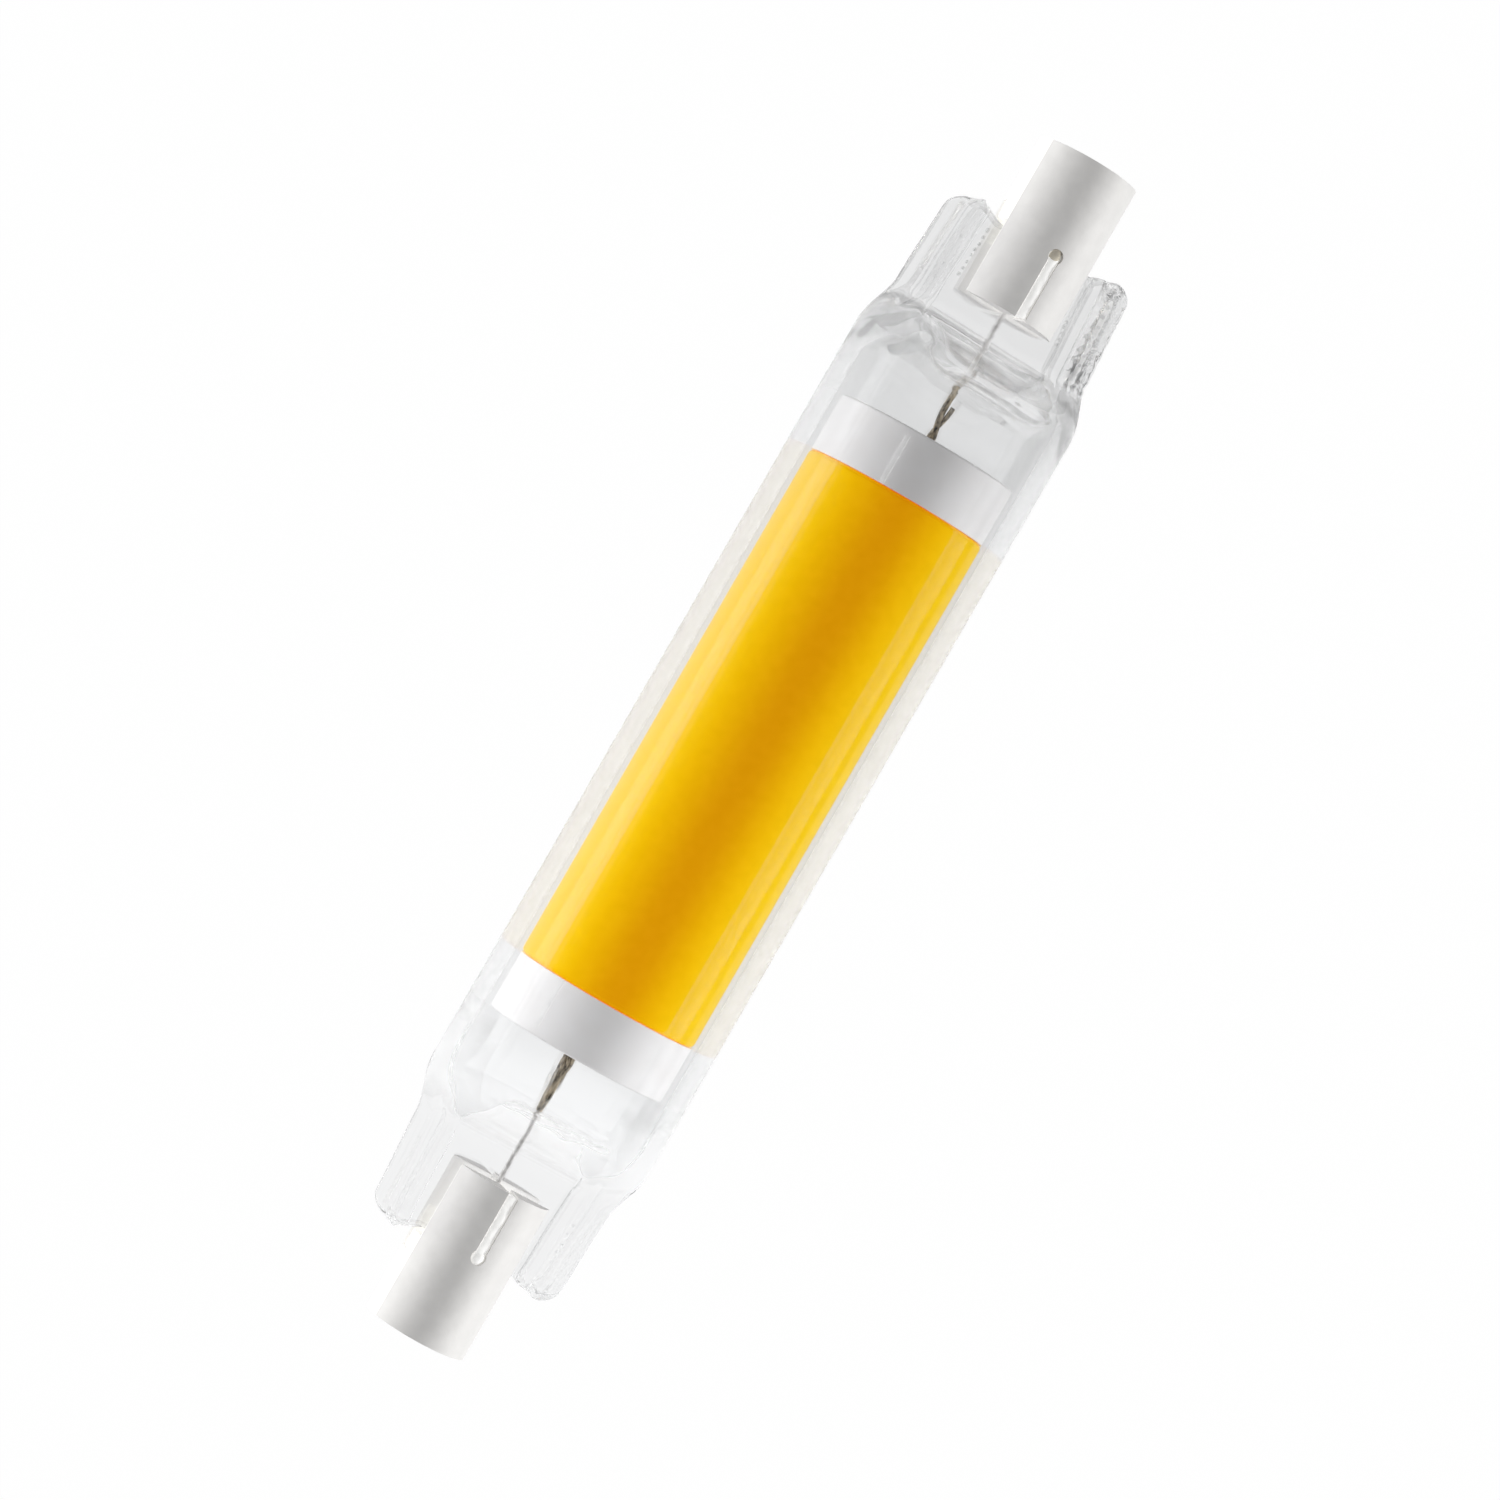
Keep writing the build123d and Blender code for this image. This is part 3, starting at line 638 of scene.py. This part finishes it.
def quarter_path(distance, half_width):
    """Point at a distance along the seal's section: rib side, rib top, rib step, web."""
    side, top, step = RIB_HALF, RIB_WIDTH, RIB_HALF - WEB_HALF
    if distance < 0:
        return half_width, distance
    if distance < side:
        return half_width, distance
    if distance < side + top:
        return half_width - (distance - side), RIB_HALF
    if distance < side + top + step:
        return half_width - top, RIB_HALF - (distance - side - top)
    return half_width - top - (distance - side - top - step), WEB_HALF


def seal_outline(angle, half_width):
    """Point of the press seal's section: a thin web with a thick rib along each edge."""
    up = 1 if math.sin(angle) >= 0 else -1
    out = 1 if math.cos(angle) >= 0 else -1
    share = math.atan2(abs(math.sin(angle)), abs(math.cos(angle))) / (math.pi / 2)
    whole = 2 * RIB_HALF - WEB_HALF + half_width
    y = z = 0.0
    for step in range(CORNER_SAMPLES):
        offset = CORNER_SOFTNESS * (2 * step / (CORNER_SAMPLES - 1) - 1)
        dy, dz = quarter_path(share * whole + offset, half_width)
        y += dy / CORNER_SAMPLES
        z += dz / CORNER_SAMPLES
    return out * y, up * max(z, 0.0)


def pressed(height, limit):
    """Height of the round wall once flat jaws have come down to a limit."""
    sign = 1 if height >= 0 else -1
    height = max(abs(height), 1e-6)
    both = height**-JAW_SQUARENESS + limit**-JAW_SQUARENESS
    return sign * both ** (-1 / JAW_SQUARENESS)


def glass_ripple(x, y, z, size, amount, seed):
    """Smooth uneven glass: a small push from a noise drawn out along the lamp."""
    place = Vector((x * 0.45, y, z)) / size + Vector((seed, seed * 0.37, 0))
    return noise.noise(place) * amount


# Swirls where the jaws folded the soft glass: place, reach, ring spacing, height, in mm
SWIRLS = (
    (26.5, 4.1, 1.05, 0.62, 0.075),
    (26.1, -4.5, 0.95, 0.66, 0.065),
    (26.4, 0.9, 0.8, 0.7, 0.04),
    (-25.9, 3.8, 0.85, 0.62, 0.055),
    (-25.8, -4.6, 0.8, 0.66, 0.045),
)


def swirl(x, y):
    """Height of the folded rings at a place on the upper face."""
    height = 0.0
    for middle_x, middle_y, reach, spacing, amount in SWIRLS:
        away = math.hypot((x - middle_x) * 1.3, y - middle_y)
        if away < reach * 2.5:
            away += 0.12 * noise.noise(Vector((x * 1.4, y * 1.4, middle_y)))
            ring = 1 - 2 * abs(math.sin(math.pi * away / spacing)) ** 0.7
            height += amount * ring * math.exp(-((away / reach) ** 2))
    return height


def outer_point(x, angle):
    """Outside of the glass at a station and an angle round the axis."""
    reach = abs(x)
    press = 1 - fall(reach, SHOULDER_START, SHOULDER_END)
    waist = 1 - fall(reach, WAIST_START, SHOULDER_END)
    taper = min(max((reach - SHOULDER_END) / (RIB_REACH - SHOULDER_END), 0.0), 1.0)
    half_width = RIB_BASE_HALF_WIDTH + (RIB_TIP_HALF_WIDTH - RIB_BASE_HALF_WIDTH) * taper
    y_seal, z_seal = seal_outline(angle, half_width)
    y = GLASS_RADIUS * math.cos(angle) * (1 - waist) + y_seal * waist
    z_round = GLASS_RADIUS * math.sin(angle)
    limit = WEB_HALF * JAW_SHUT + (GLASS_RADIUS * JAW_OPEN - WEB_HALF) * (1 - press)
    flat = pressed(z_round, limit)
    started = min(press * 6, 1.0)
    z = z_round + (flat - z_round) * started
    grown = 1 - fall(reach, RIB_ROOT - 1.0, SHOULDER_END, 1.0)
    z += (z_seal - z) * grown
    return y, z, press


def tip_reach(y):
    """How far the seal reaches at a place across it: ribs stand past the web."""
    rise = min(max((abs(y) - WEB_SLOPE_FROM) / WEB_SLOPE_WIDTH, 0.0), 1.0)
    corner = min(max(abs(y) - (RIB_TIP_HALF_WIDTH - RIB_CORNER), 0.0), RIB_CORNER)
    drop = RIB_CORNER - math.sqrt(RIB_CORNER**2 - corner**2)
    return WEB_LOW + (RIB_REACH - TIP_MARGIN - WEB_LOW) * rise - drop


def extrude_rings(name, stations, radius):
    """Circle at the first station, drawn out ring by ring along X."""
    deselect()
    bpy.ops.mesh.primitive_circle_add(
        vertices=RING, radius=radius, location=(stations[0], 0, 0),
        rotation=(math.pi / 2, 0, math.pi / 2))
    piece = bpy.context.object
    piece.name = name
    settle(piece)
    bpy.ops.object.mode_set(mode="EDIT")
    bpy.ops.mesh.select_all(action="SELECT")
    for before, after in zip(stations, stations[1:]):
        bpy.ops.mesh.extrude_region_move(
            TRANSFORM_OT_translate={"value": (after - before, 0, 0)})
    bpy.ops.object.mode_set(mode="OBJECT")
    return piece


def close_flat_ends(piece, low, high):
    """Stitch the upper row of each end ring to the lower row, from one edge to the other."""
    body = bmesh.new()
    body.from_mesh(piece.data)
    body.verts.ensure_lookup_table()
    half = RING // 2
    for end in (low, high):
        ring = {}
        for index in end:
            vertex = body.verts[index]
            turn = math.atan2(vertex.co.z, vertex.co.y) / (2 * math.pi)
            ring[round(turn * RING) % RING] = vertex
        for step in range(half):
            corners = [ring[step], ring[step + 1], ring[RING - step - 1], ring[-step % RING]]
            body.faces.new(list(dict.fromkeys(corners)))
    body.to_mesh(piece.data)
    body.free()


def even_steps(start, end, steps):
    """Places from start to end in even steps."""
    return [start + (end - start) * i / steps for i in range(steps + 1)]


def ring_stations():
    """Stations of the outside from one tip to the other, in even steps of each stretch."""
    half = [0.0, 6.0, 12.0, 18.0, 21.0]
    half += even_steps(SHOULDER_START, SHOULDER_END, SHOULDER_RINGS)[:-1]
    web_end = WEB_REACH - TIP_ROUNDING
    half += even_steps(SHOULDER_END, web_end, WEB_RINGS)
    half += even_steps(web_end, WEB_REACH, TIP_RINGS)[1:]
    return [-x for x in reversed(half[1:])] + half


def shape_outside(piece):
    """Press the ends of the drawn tube into shoulders, webs and ribs."""
    web_end = WEB_REACH - TIP_ROUNDING
    for vertex in piece.data.vertices:
        x, y0, z0 = vertex.co
        hand = 1 if x > 0 else -1
        angle = math.atan2(z0, y0)
        y, z, press = outer_point(x, angle)
        reach = abs(x)
        if reach > SHOULDER_END:
            share = min((reach - SHOULDER_END) / (web_end - SHOULDER_END), 1.0)
            end = tip_reach(y) - TIP_ROUNDING - TIP_DOME * (z / RIB_HALF) ** 2
            new_reach = SHOULDER_END + (end - SHOULDER_END) * share
            if reach > web_end:
                turn = (reach - web_end) / TIP_ROUNDING * math.pi / 2
                new_reach = end + TIP_ROUNDING * math.sin(turn)
                pull = TIP_ROUNDING * (1 - math.cos(turn))
                z -= math.copysign(min(pull, abs(z)), z)
                edge = min(max(abs(y) - RIB_PULL_FROM, 0.0), 1.0)
                y -= math.copysign(pull * edge, y)
            x = hand * new_reach
        calm = fall(reach, *CALM_STRETCH)
        push = press * calm * glass_ripple(x, y, z, size=1.5, amount=0.10, seed=3.0)
        if z > 0:
            push += press * swirl(x, y)
        if y < STREAK_FROM_Y and x > STREAK_FROM_X:
            push -= calm * abs(glass_ripple(x * 2.2, y, z, size=0.28, amount=0.22, seed=21.0))
        outward = Vector((0, y, z))
        if outward.length > 0:
            outward.normalize()
        vertex.co = Vector((x, y, z)) + outward * push


def hollow_stations():
    """Stations of the hollow from crease to crease."""
    half = [0.0, 7.0, 14.0, 20.0] + even_steps(HOLLOW_START, HOLLOW_REACH, HOLLOW_RINGS)
    return [-x for x in reversed(half[1:])] + half


def shape_hollow(piece):
    """Close the ends of the hollow to a crease with a small pocket near each edge."""
    for vertex in piece.data.vertices:
        x, y0, z0 = vertex.co
        hand = 1 if x > 0 else -1
        reach = abs(x)
        if reach <= HOLLOW_START:
            continue
        share = (reach - HOLLOW_START) / (HOLLOW_REACH - HOLLOW_START)
        lobe = bump(abs(y0), LOBE_AT, LOBE_WIDTH)
        crease = CREASE_HALF + LOBE_HALF * lobe
        limit = crease + (HOLLOW_RADIUS * JAW_OPEN - crease) * fall(share, 0.0, 1.0, 1.6)
        y = y0 * (1 - HOLLOW_PINCH * share**2)
        z = z0 + (pressed(z0, limit) - z0) * min(share * 5, 1.0)
        far = HOLLOW_REACH + LOBE_REACH * lobe - CREASE_LEAN * y * hand
        far += CREASE_STRAY * noise.noise(Vector((y * 0.8, hand * 7.3, 0)))
        new_reach = HOLLOW_START + (far - HOLLOW_START) * share
        push = share**2 * glass_ripple(new_reach, y, z, size=0.8, amount=0.2, seed=9.0 + hand)
        if abs(z0) > 1e-6:
            z += math.copysign(push, z0) * min(abs(z), 0.5)
        if share > 0.97:
            z *= 0.3
        vertex.co = (hand * new_reach, y, z)


# Bubbles in the pressed glass: first place, step to the next, how many, radius, in mm
BUBBLE_ROWS = (
    ((33.1, -5.2, 1.1), (-0.40, -0.034, 0.0), 12, 0.15),
    ((33.1, -5.0, 0.7), (-0.62, -0.03, 0.05), 8, 0.07),
    ((32.6, 3.45, 0.35), (-0.42, 0.03, 0.0), 8, 0.08),
    ((31.5, 4.9, 0.9), (-0.9, 0.05, 0.0), 4, 0.06),
    ((30.6, -3.5, 0.35), (-0.35, -0.04, 0.0), 5, 0.08),
    ((-33.75, 5.2, 0.8), (0.25, 0.08, 0.0), 3, 0.08),
    ((-33.4, -5.3, 0.8), (0.22, -0.06, 0.0), 3, 0.08),
    ((-29.2, -4.9, 0.8), (-0.6, 0.02, 0.0), 5, 0.06),
)


def air_bubbles():
    """Small drawn-out bubbles, copies of one closed shell that faces into its air."""
    deselect()
    bpy.ops.mesh.primitive_uv_sphere_add(segments=12, ring_count=8, radius=1.0)
    blank = bpy.context.object
    face_all(blank, inside=True)
    made = []
    for start, step, count, radius in BUBBLE_ROWS:
        for index in range(count):
            place = Vector(start) + Vector(step) * index
            stray = noise.noise_vector(place * 1.7)
            place += Vector((stray.x * 0.12, stray.y * 0.07, stray.z * 0.07))
            size = radius * (1 + 0.45 * stray.z)
            bubble = copied(blank, "bubble")
            drawn_out = Matrix.Diagonal((size * (1.5 + stray.x), size, size, 1.0))
            bubble.data.transform(Matrix.Translation(place) @ drawn_out)
            made.append(bubble)
    discard(blank)
    return made


def pressed_blank(name, stations, radius):
    """Tube drawn out along the stations and stitched shut at both ends."""
    piece = extrude_rings(name, stations, radius)
    count = len(stations) * RING
    close_flat_ends(piece, range(RING), range(count - RING, count))
    return piece


def glass_body(material):
    """The glass: outside and hollow, each pressed from a drawn tube, joined as one shell pair."""
    outside = pressed_blank("glass_body", ring_stations(), GLASS_RADIUS)
    shape_outside(outside)
    face_all(outside, inside=False)
    hollow = pressed_blank("glass_hollow", hollow_stations(), HOLLOW_RADIUS)
    shape_hollow(hollow)
    face_all(hollow, inside=True)
    bubbles = air_bubbles()
    deselect()
    for piece in [hollow, outside] + bubbles:
        piece.select_set(True)
    bpy.context.view_layer.objects.active = outside
    bpy.ops.object.join()
    finish_piece(outside, material, ["glass_envelope"], degrees=80.0)


# Turned pieces

def turned(name, profile, steps=96):
    """Ring drawn out and resized along a closed profile of (x, radius) points."""
    deselect()
    x, radius = profile[0]
    bpy.ops.mesh.primitive_circle_add(
        vertices=steps, radius=radius, location=(x, 0, 0), rotation=(math.pi / 2, 0, math.pi / 2))
    piece = bpy.context.object
    piece.name = name
    settle(piece)
    bpy.ops.object.mode_set(mode="EDIT")
    bpy.ops.mesh.select_all(action="SELECT")
    for next_x, next_radius in profile[1:] + profile[:1]:
        bpy.ops.mesh.extrude_region_move(TRANSFORM_OT_translate={"value": (next_x - x, 0, 0)})
        size = next_radius / radius
        bpy.ops.transform.resize(value=(1, size, size), center_override=(next_x, 0, 0))
        x, radius = next_x, next_radius
    bpy.ops.mesh.select_all(action="SELECT")
    bpy.ops.mesh.remove_doubles(threshold=0.0005)
    bpy.ops.mesh.normals_make_consistent(inside=False)
    bpy.ops.object.mode_set(mode="OBJECT")
    return piece


def rounded_corner(x, radius, hand, size, steps=5):
    """Quarter round at an outer corner, from the end face to the outside."""
    points = []
    for i in range(steps + 1):
        turn = math.pi / 2 * i / steps
        along = x - hand * size * (1 - math.cos(turn))
        points.append((along, radius - size * (1 - math.sin(turn))))
    return points


def light_tube_piece(materials):
    """White ceramic tube with softened rims, turned down under the coating."""
    end, big, bore = TUBE_END, TUBE_RADIUS, TUBE_BORE_RADIUS
    profile = [(-end + 0.1, bore), (end - 0.1, bore), (end, bore + 0.1)]
    profile += rounded_corner(end, big, 1, 0.16)
    profile += [(COATING_END, big), (COATING_END, COATING_FLOOR)]
    profile += [(-COATING_END, COATING_FLOOR), (-COATING_END, big)]
    profile += rounded_corner(-end, big, -1, 0.16)[::-1]
    profile += [(-end, bore + 0.1)]
    tube = turned("light_tube_body", profile)
    finish_piece(tube, materials["tube_ceramic"], ["light_tube"], 30.0)


def coating_piece(materials):
    """Yellow sleeve with a rolled, slightly wavy rim at each end."""
    radius, floor, end = COATING_RADIUS, COATING_FLOOR + 0.001, COATING_END
    profile = [(-end, floor), (end, floor)]
    profile += rounded_corner(end, radius, 1, 0.3)
    steps = 12
    profile += [(end - 0.6 - (2 * end - 1.2) * i / steps, radius) for i in range(steps + 1)]
    profile += rounded_corner(-end, radius, -1, 0.3)[::-1]
    sleeve = turned("coating_sleeve", profile, steps=128)
    finish_piece(sleeve, materials["coating_yellow"], ["light_coating"])


# Ceramic caps

def block(size, centre):
    """Box, as a blank or for a boolean to take away."""
    deselect()
    bpy.ops.mesh.primitive_cube_add(size=1.0, location=centre)
    piece = bpy.context.object
    piece.scale = size
    settle(piece)
    return piece


def rod(radius, depth, centre, rotation, vertices=48):
    """Cylinder, as a blank or for a boolean to take away."""
    deselect()
    bpy.ops.mesh.primitive_cylinder_add(
        vertices=vertices, radius=radius, depth=depth, location=centre, rotation=rotation)
    piece = bpy.context.object
    settle(piece)
    return piece


def cut_away(piece, cutters):
    """Take each cutter out of the piece, in order."""
    for index, cutter in enumerate(cutters):
        cut = piece.modifiers.new("cut%d" % index, "BOOLEAN")
        cut.operation = "DIFFERENCE"
        cut.solver = "EXACT"
        cut.object = cutter
    apply_all(piece)
    for cutter in cutters:
        bpy.data.objects.remove(cutter)


def soften(piece, width, segments=2, degrees=40.0):
    """Round every sharp edge."""
    bevel = piece.modifiers.new("soft_edges", "BEVEL")
    bevel.width = width
    bevel.segments = segments
    bevel.limit_method = "ANGLE"
    bevel.angle_limit = math.radians(degrees)
    bevel.harden_normals = False
    apply_all(piece)


def cap_material():
    """Matt white ceramic; painted shade darkens its base colour towards the sides seen from the
    camera, and the slot's faces glow with painted light.
    """
    material = plain_material(
        "cap_ceramic", (0.775, 0.765, 0.75), (0.81, 0.80, 0.785), 0.55, 1.3, relief=0.02)
    tree, node, shader = open_again(material)
    place, parts = own_place(tree, node)
    height = node("ShaderNodeMath", operation="ABSOLUTE")
    tree.links.new(parts["Z"], height.inputs[0])
    mottle = shader.inputs["Base Color"].links[0].from_socket
    # Painted shade: the base colour falls to 0.82 towards the cap's outline as seen from the
    # camera.
    across = node("ShaderNodeVectorMath", operation="DOT_PRODUCT")
    across.inputs[1].default_value = (0, math.cos(CAMERA_TILT), -math.sin(CAMERA_TILT))
    tree.links.new(place, across.inputs[0])
    side = node("ShaderNodeMath", operation="ABSOLUTE")
    tree.links.new(across.outputs["Value"], side.inputs[0])
    painted_side_shade = smooth_ramp(
        tree, node, side.outputs[0], 1.0, 0.82, 0.68 * CAP_RADIUS * MM, CAP_RADIUS * MM)
    shade = node("ShaderNodeVectorMath", operation="SCALE")
    tree.links.new(mottle, shade.inputs[0])
    tree.links.new(painted_side_shade, shade.inputs["Scale"])
    tree.links.new(shade.outputs["Vector"], shader.inputs["Base Color"])
    # Painted light: the faces of the slot glow, standing in for light the glass web would bring
    # in.
    painted_slot_glow = smooth_ramp(
        tree, node, height.outputs[0], 0.33, 0.0,
        (CAP_SLOT_WIDTH / 2 + 0.01) * MM, (CAP_SLOT_WIDTH / 2 + 0.06) * MM)
    tree.links.new(painted_slot_glow, shader.inputs["Emission Strength"])
    shader.inputs["Emission Color"].default_value = (1.0, 0.99, 0.97, 1)
    return material


def cap_blank():
    """Pressed ceramic cap of the right end: slotted, with a cross slot, keyhole and recess."""
    along = (0, math.pi / 2, 0)
    length = CAP_OUTER - CAP_INNER
    slot = CAP_SLOT_END - CAP_INNER
    cross = KEYHOLE_AT - CAP_INNER
    cap = rod(CAP_RADIUS, length, (CAP_INNER + length / 2, 0, 0), along, vertices=256)
    cutters = [
        block((slot + CUT_OVERRUN, CUT_ACROSS, CAP_SLOT_WIDTH),
              (CAP_INNER + (slot - CUT_OVERRUN) / 2, 0, 0)),
        block((cross + CUT_OVERRUN, CROSS_SLOT_WIDTH, CUT_ACROSS),
              (CAP_INNER + (cross - CUT_OVERRUN) / 2, 0, 0)),
        rod(KEYHOLE_RADIUS, CUT_ACROSS, (KEYHOLE_AT, 0, 0), (0, 0, 0)),
        rod(RECESS_RADIUS, 2 * (CAP_OUTER - CONTACT_FACE), (CAP_OUTER, 0, 0), along, vertices=64),
        rod(CONTACT_HEAD_RADIUS + CONTACT_CLEARANCE, HEAD_CUT,
            (CONTACT_SEAT + HEAD_CUT / 2, 0, 0), along, vertices=64),
        rod(CONTACT_SHANK_RADIUS + CONTACT_CLEARANCE, SHANK_CUT,
            (CONTACT_SEAT - SHANK_CUT / 2 + 0.1, 0, 0), along),
    ]
    cut_away(cap, cutters)
    soften(cap, CAP_SOFTNESS, degrees=50.0)
    return cap


def cap_piece(side, blank, materials):
    """Copy of the cap; the left one is turned half round."""
    cap = copied(blank, "cap_shell_" + side)
    if SIDES[side] < 0:
        cap.data.transform(Matrix.Rotation(math.pi, 4, "Z"))
    finish_piece(cap, materials["cap_ceramic"], ["cap_" + side], degrees=1.0)


def fill_blanks():
    """Strip and bead of cement, in the middle of the lamp and not yet uneven."""
    length = KEYHOLE_AT - CAP_INNER - FILL_INSET
    strip = block((length, CROSS_SLOT_WIDTH - FILL_GAP, FILL_DEPTH), (0, 0, 0))
    make_active(strip)
    bpy.ops.object.mode_set(mode="EDIT")
    bpy.ops.mesh.select_all(action="SELECT")
    bpy.ops.mesh.subdivide(number_cuts=11)
    bpy.ops.object.mode_set(mode="OBJECT")
    deselect()
    bpy.ops.mesh.primitive_uv_sphere_add(
        segments=32, ring_count=20, radius=KEYHOLE_RADIUS - BEAD_GAP)
    return strip, bpy.context.object


def slot_fill(side, plain_strip, plain_bead, materials):
    """Cement that stands nearly flush in the cross slot, with a round bead in its keyhole."""
    hand = SIDES[side]
    start, end = CAP_INNER + FILL_INSET, KEYHOLE_AT
    top = math.sqrt(CAP_RADIUS**2 - (CROSS_SLOT_WIDTH / 2) ** 2) - FILL_BELOW
    for face, level in ((1, "top"), (-1, "bottom")):
        strip = copied(plain_strip, "slot_fill_%s_%s" % (side, level))
        middle = (hand * (start + end) / 2, 0, face * (top - FILL_DEPTH / 2))
        strip.data.transform(Matrix.Translation(middle))
        for vertex in strip.data.vertices:
            x, y, z = vertex.co
            sag = 0.05 * noise.noise(Vector((x * 1.7, y * 2.0, face * 3.0)))
            crown = 0.06 * (1 - (2 * y / CROSS_SLOT_WIDTH) ** 2)
            vertex.co.z = z + face * (sag + crown - 0.04) * (abs(z) > top - 0.3)
        soften(strip, 0.05)
        finish_piece(strip, materials["slot_cement"], [], degrees=60.0)
        bead = copied(plain_bead, "keyhole_bead_%s_%s" % (side, level))
        middle = (hand * KEYHOLE_AT, 0, face * (CAP_RADIUS - BEAD_DEPTH))
        bead.data.transform(Matrix.Translation(middle))
        for vertex in bead.data.vertices:
            push = 0.05 * noise.noise(vertex.co * 2.2)
            tip = 0.22 * bump((vertex.co.x * hand - KEYHOLE_AT), 0.42, 0.16)
            vertex.co.x += hand * tip
            vertex.co.z += face * push
        glaze = "bead_glaze" if side == "right" else "slot_cement"
        finish_piece(bead, materials[glaze], [], degrees=60.0)


# Inner leads

def wire(name, points, radius, material, nodes):
    """Smooth round wire through control points, as a mesh."""
    deselect()
    curve = bpy.data.curves.new(name, "CURVE")
    curve.dimensions = "3D"
    curve.resolution_u = 8
    curve.bevel_depth = radius
    curve.bevel_resolution = 5
    curve.use_fill_caps = True
    spline = curve.splines.new("NURBS")
    spline.points.add(len(points) - 1)
    for control, place in zip(spline.points, points):
        control.co = (*place, 1)
    spline.order_u = 3
    spline.use_endpoint_u = True
    guide = bpy.data.objects.new(name + "_path", curve)
    bpy.context.collection.objects.link(guide)
    mesh = bpy.data.meshes.new_from_object(guide.evaluated_get(
        bpy.context.evaluated_depsgraph_get()))
    bpy.data.objects.remove(guide)
    piece = bpy.data.objects.new(name, mesh)
    bpy.context.collection.objects.link(piece)
    finish_piece(piece, material, nodes, degrees=50.0)


def twin_lead(materials):
    """Two bent wires that cross near the light tube; one of them ends short of the weld."""
    foot, top = LEAD_FOOT, WELD_REACH
    long_wire = [
        (foot - 0.3, -0.10, 0.0), (foot + 0.6, -0.16, 0.06), (foot + 1.3, 0.0, 0.14),
        (foot + 2.1, 0.14, 0.06), (foot + 3.0, 0.18, 0.0), (top, 0.10, 0.0), (top + 0.3, 0.0, 0.0)]
    short_wire = [
        (foot - 0.3, 0.14, 0.10), (foot + 0.6, 0.18, 0.08), (foot + 1.3, 0.03, -0.10),
        (foot + 2.0, -0.12, 0.02), (foot + 2.6, -0.24, 0.10), (foot + 3.2, -0.27, 0.10)]
    wire("lead_long_wire", long_wire, 0.19, materials["lead_metal"], ["lead_right"])
    wire("lead_short_wire", short_wire, 0.15, materials["lead_metal"], [])


def stranded_lead(materials):
    """Seven twisted wires drawn together towards the seal."""
    foot, top = LEAD_FOOT - 0.2, WELD_REACH + 0.15
    steps = 14
    for strand in range(7):
        points = []
        for step in range(steps + 1):
            share = step / steps
            spread = 0.27 * (1 - share) ** 0.8 + 0.07
            if strand == 6:
                spread = 0.02
            turn = math.radians(strand * 60 + 300 * share)
            jitter = 0.04 * noise.noise(Vector((share * 6, strand * 1.9, 0)))
            points.append((
                -(foot + (top - foot) * share),
                0.2 + (spread + jitter) * math.cos(turn),
                (spread + jitter) * math.sin(turn)))
        nodes = ["lead_left"] if strand == 0 else []
        wire("lead_strand_%d" % strand, points, 0.125, materials["lead_metal"], nodes)


# CAD nodes that keep their own shape

NODE_SLOTS = {row["node"]: row["material_slot"] for row in frame["record"]["subparts"]}


def dress_nodes(materials, replaced):
    """Give every node that stays its finish."""
    for name, piece in frame["nodes"].items():
        if name in replaced:
            continue
        piece.data.materials.clear()
        finish = NODE_SLOTS[name]
        for start in ("feed_line", "seal_wire"):
            if name.startswith(start):
                finish = start
        piece.data.materials.append(materials[finish])


def main():
    """Camera, light and floor, then the lamp's pieces."""
    place_camera()
    studio_world()
    studio_floor()
    softbox("left_softbox", angle=102, power=0.86)
    softbox("right_softbox", angle=-72, power=0.79)
    materials = make_materials()
    glass_body(materials["clear_glass"])
    light_tube_piece(materials)
    coating_piece(materials)
    cap = cap_blank()
    strip, bead = fill_blanks()
    for side in SIDES:
        cap_piece(side, cap, materials)
        slot_fill(side, strip, bead, materials)
    for blank in (cap, strip, bead):
        discard(blank)
    twin_lead(materials)
    stranded_lead(materials)
    replaced = ["glass_envelope", "light_tube", "light_coating", "cap_right", "cap_left",
                "lead_right", "lead_left"]
    dress_nodes(materials, replaced)
    bpy.context.scene.view_settings.view_transform = "Standard"


main()
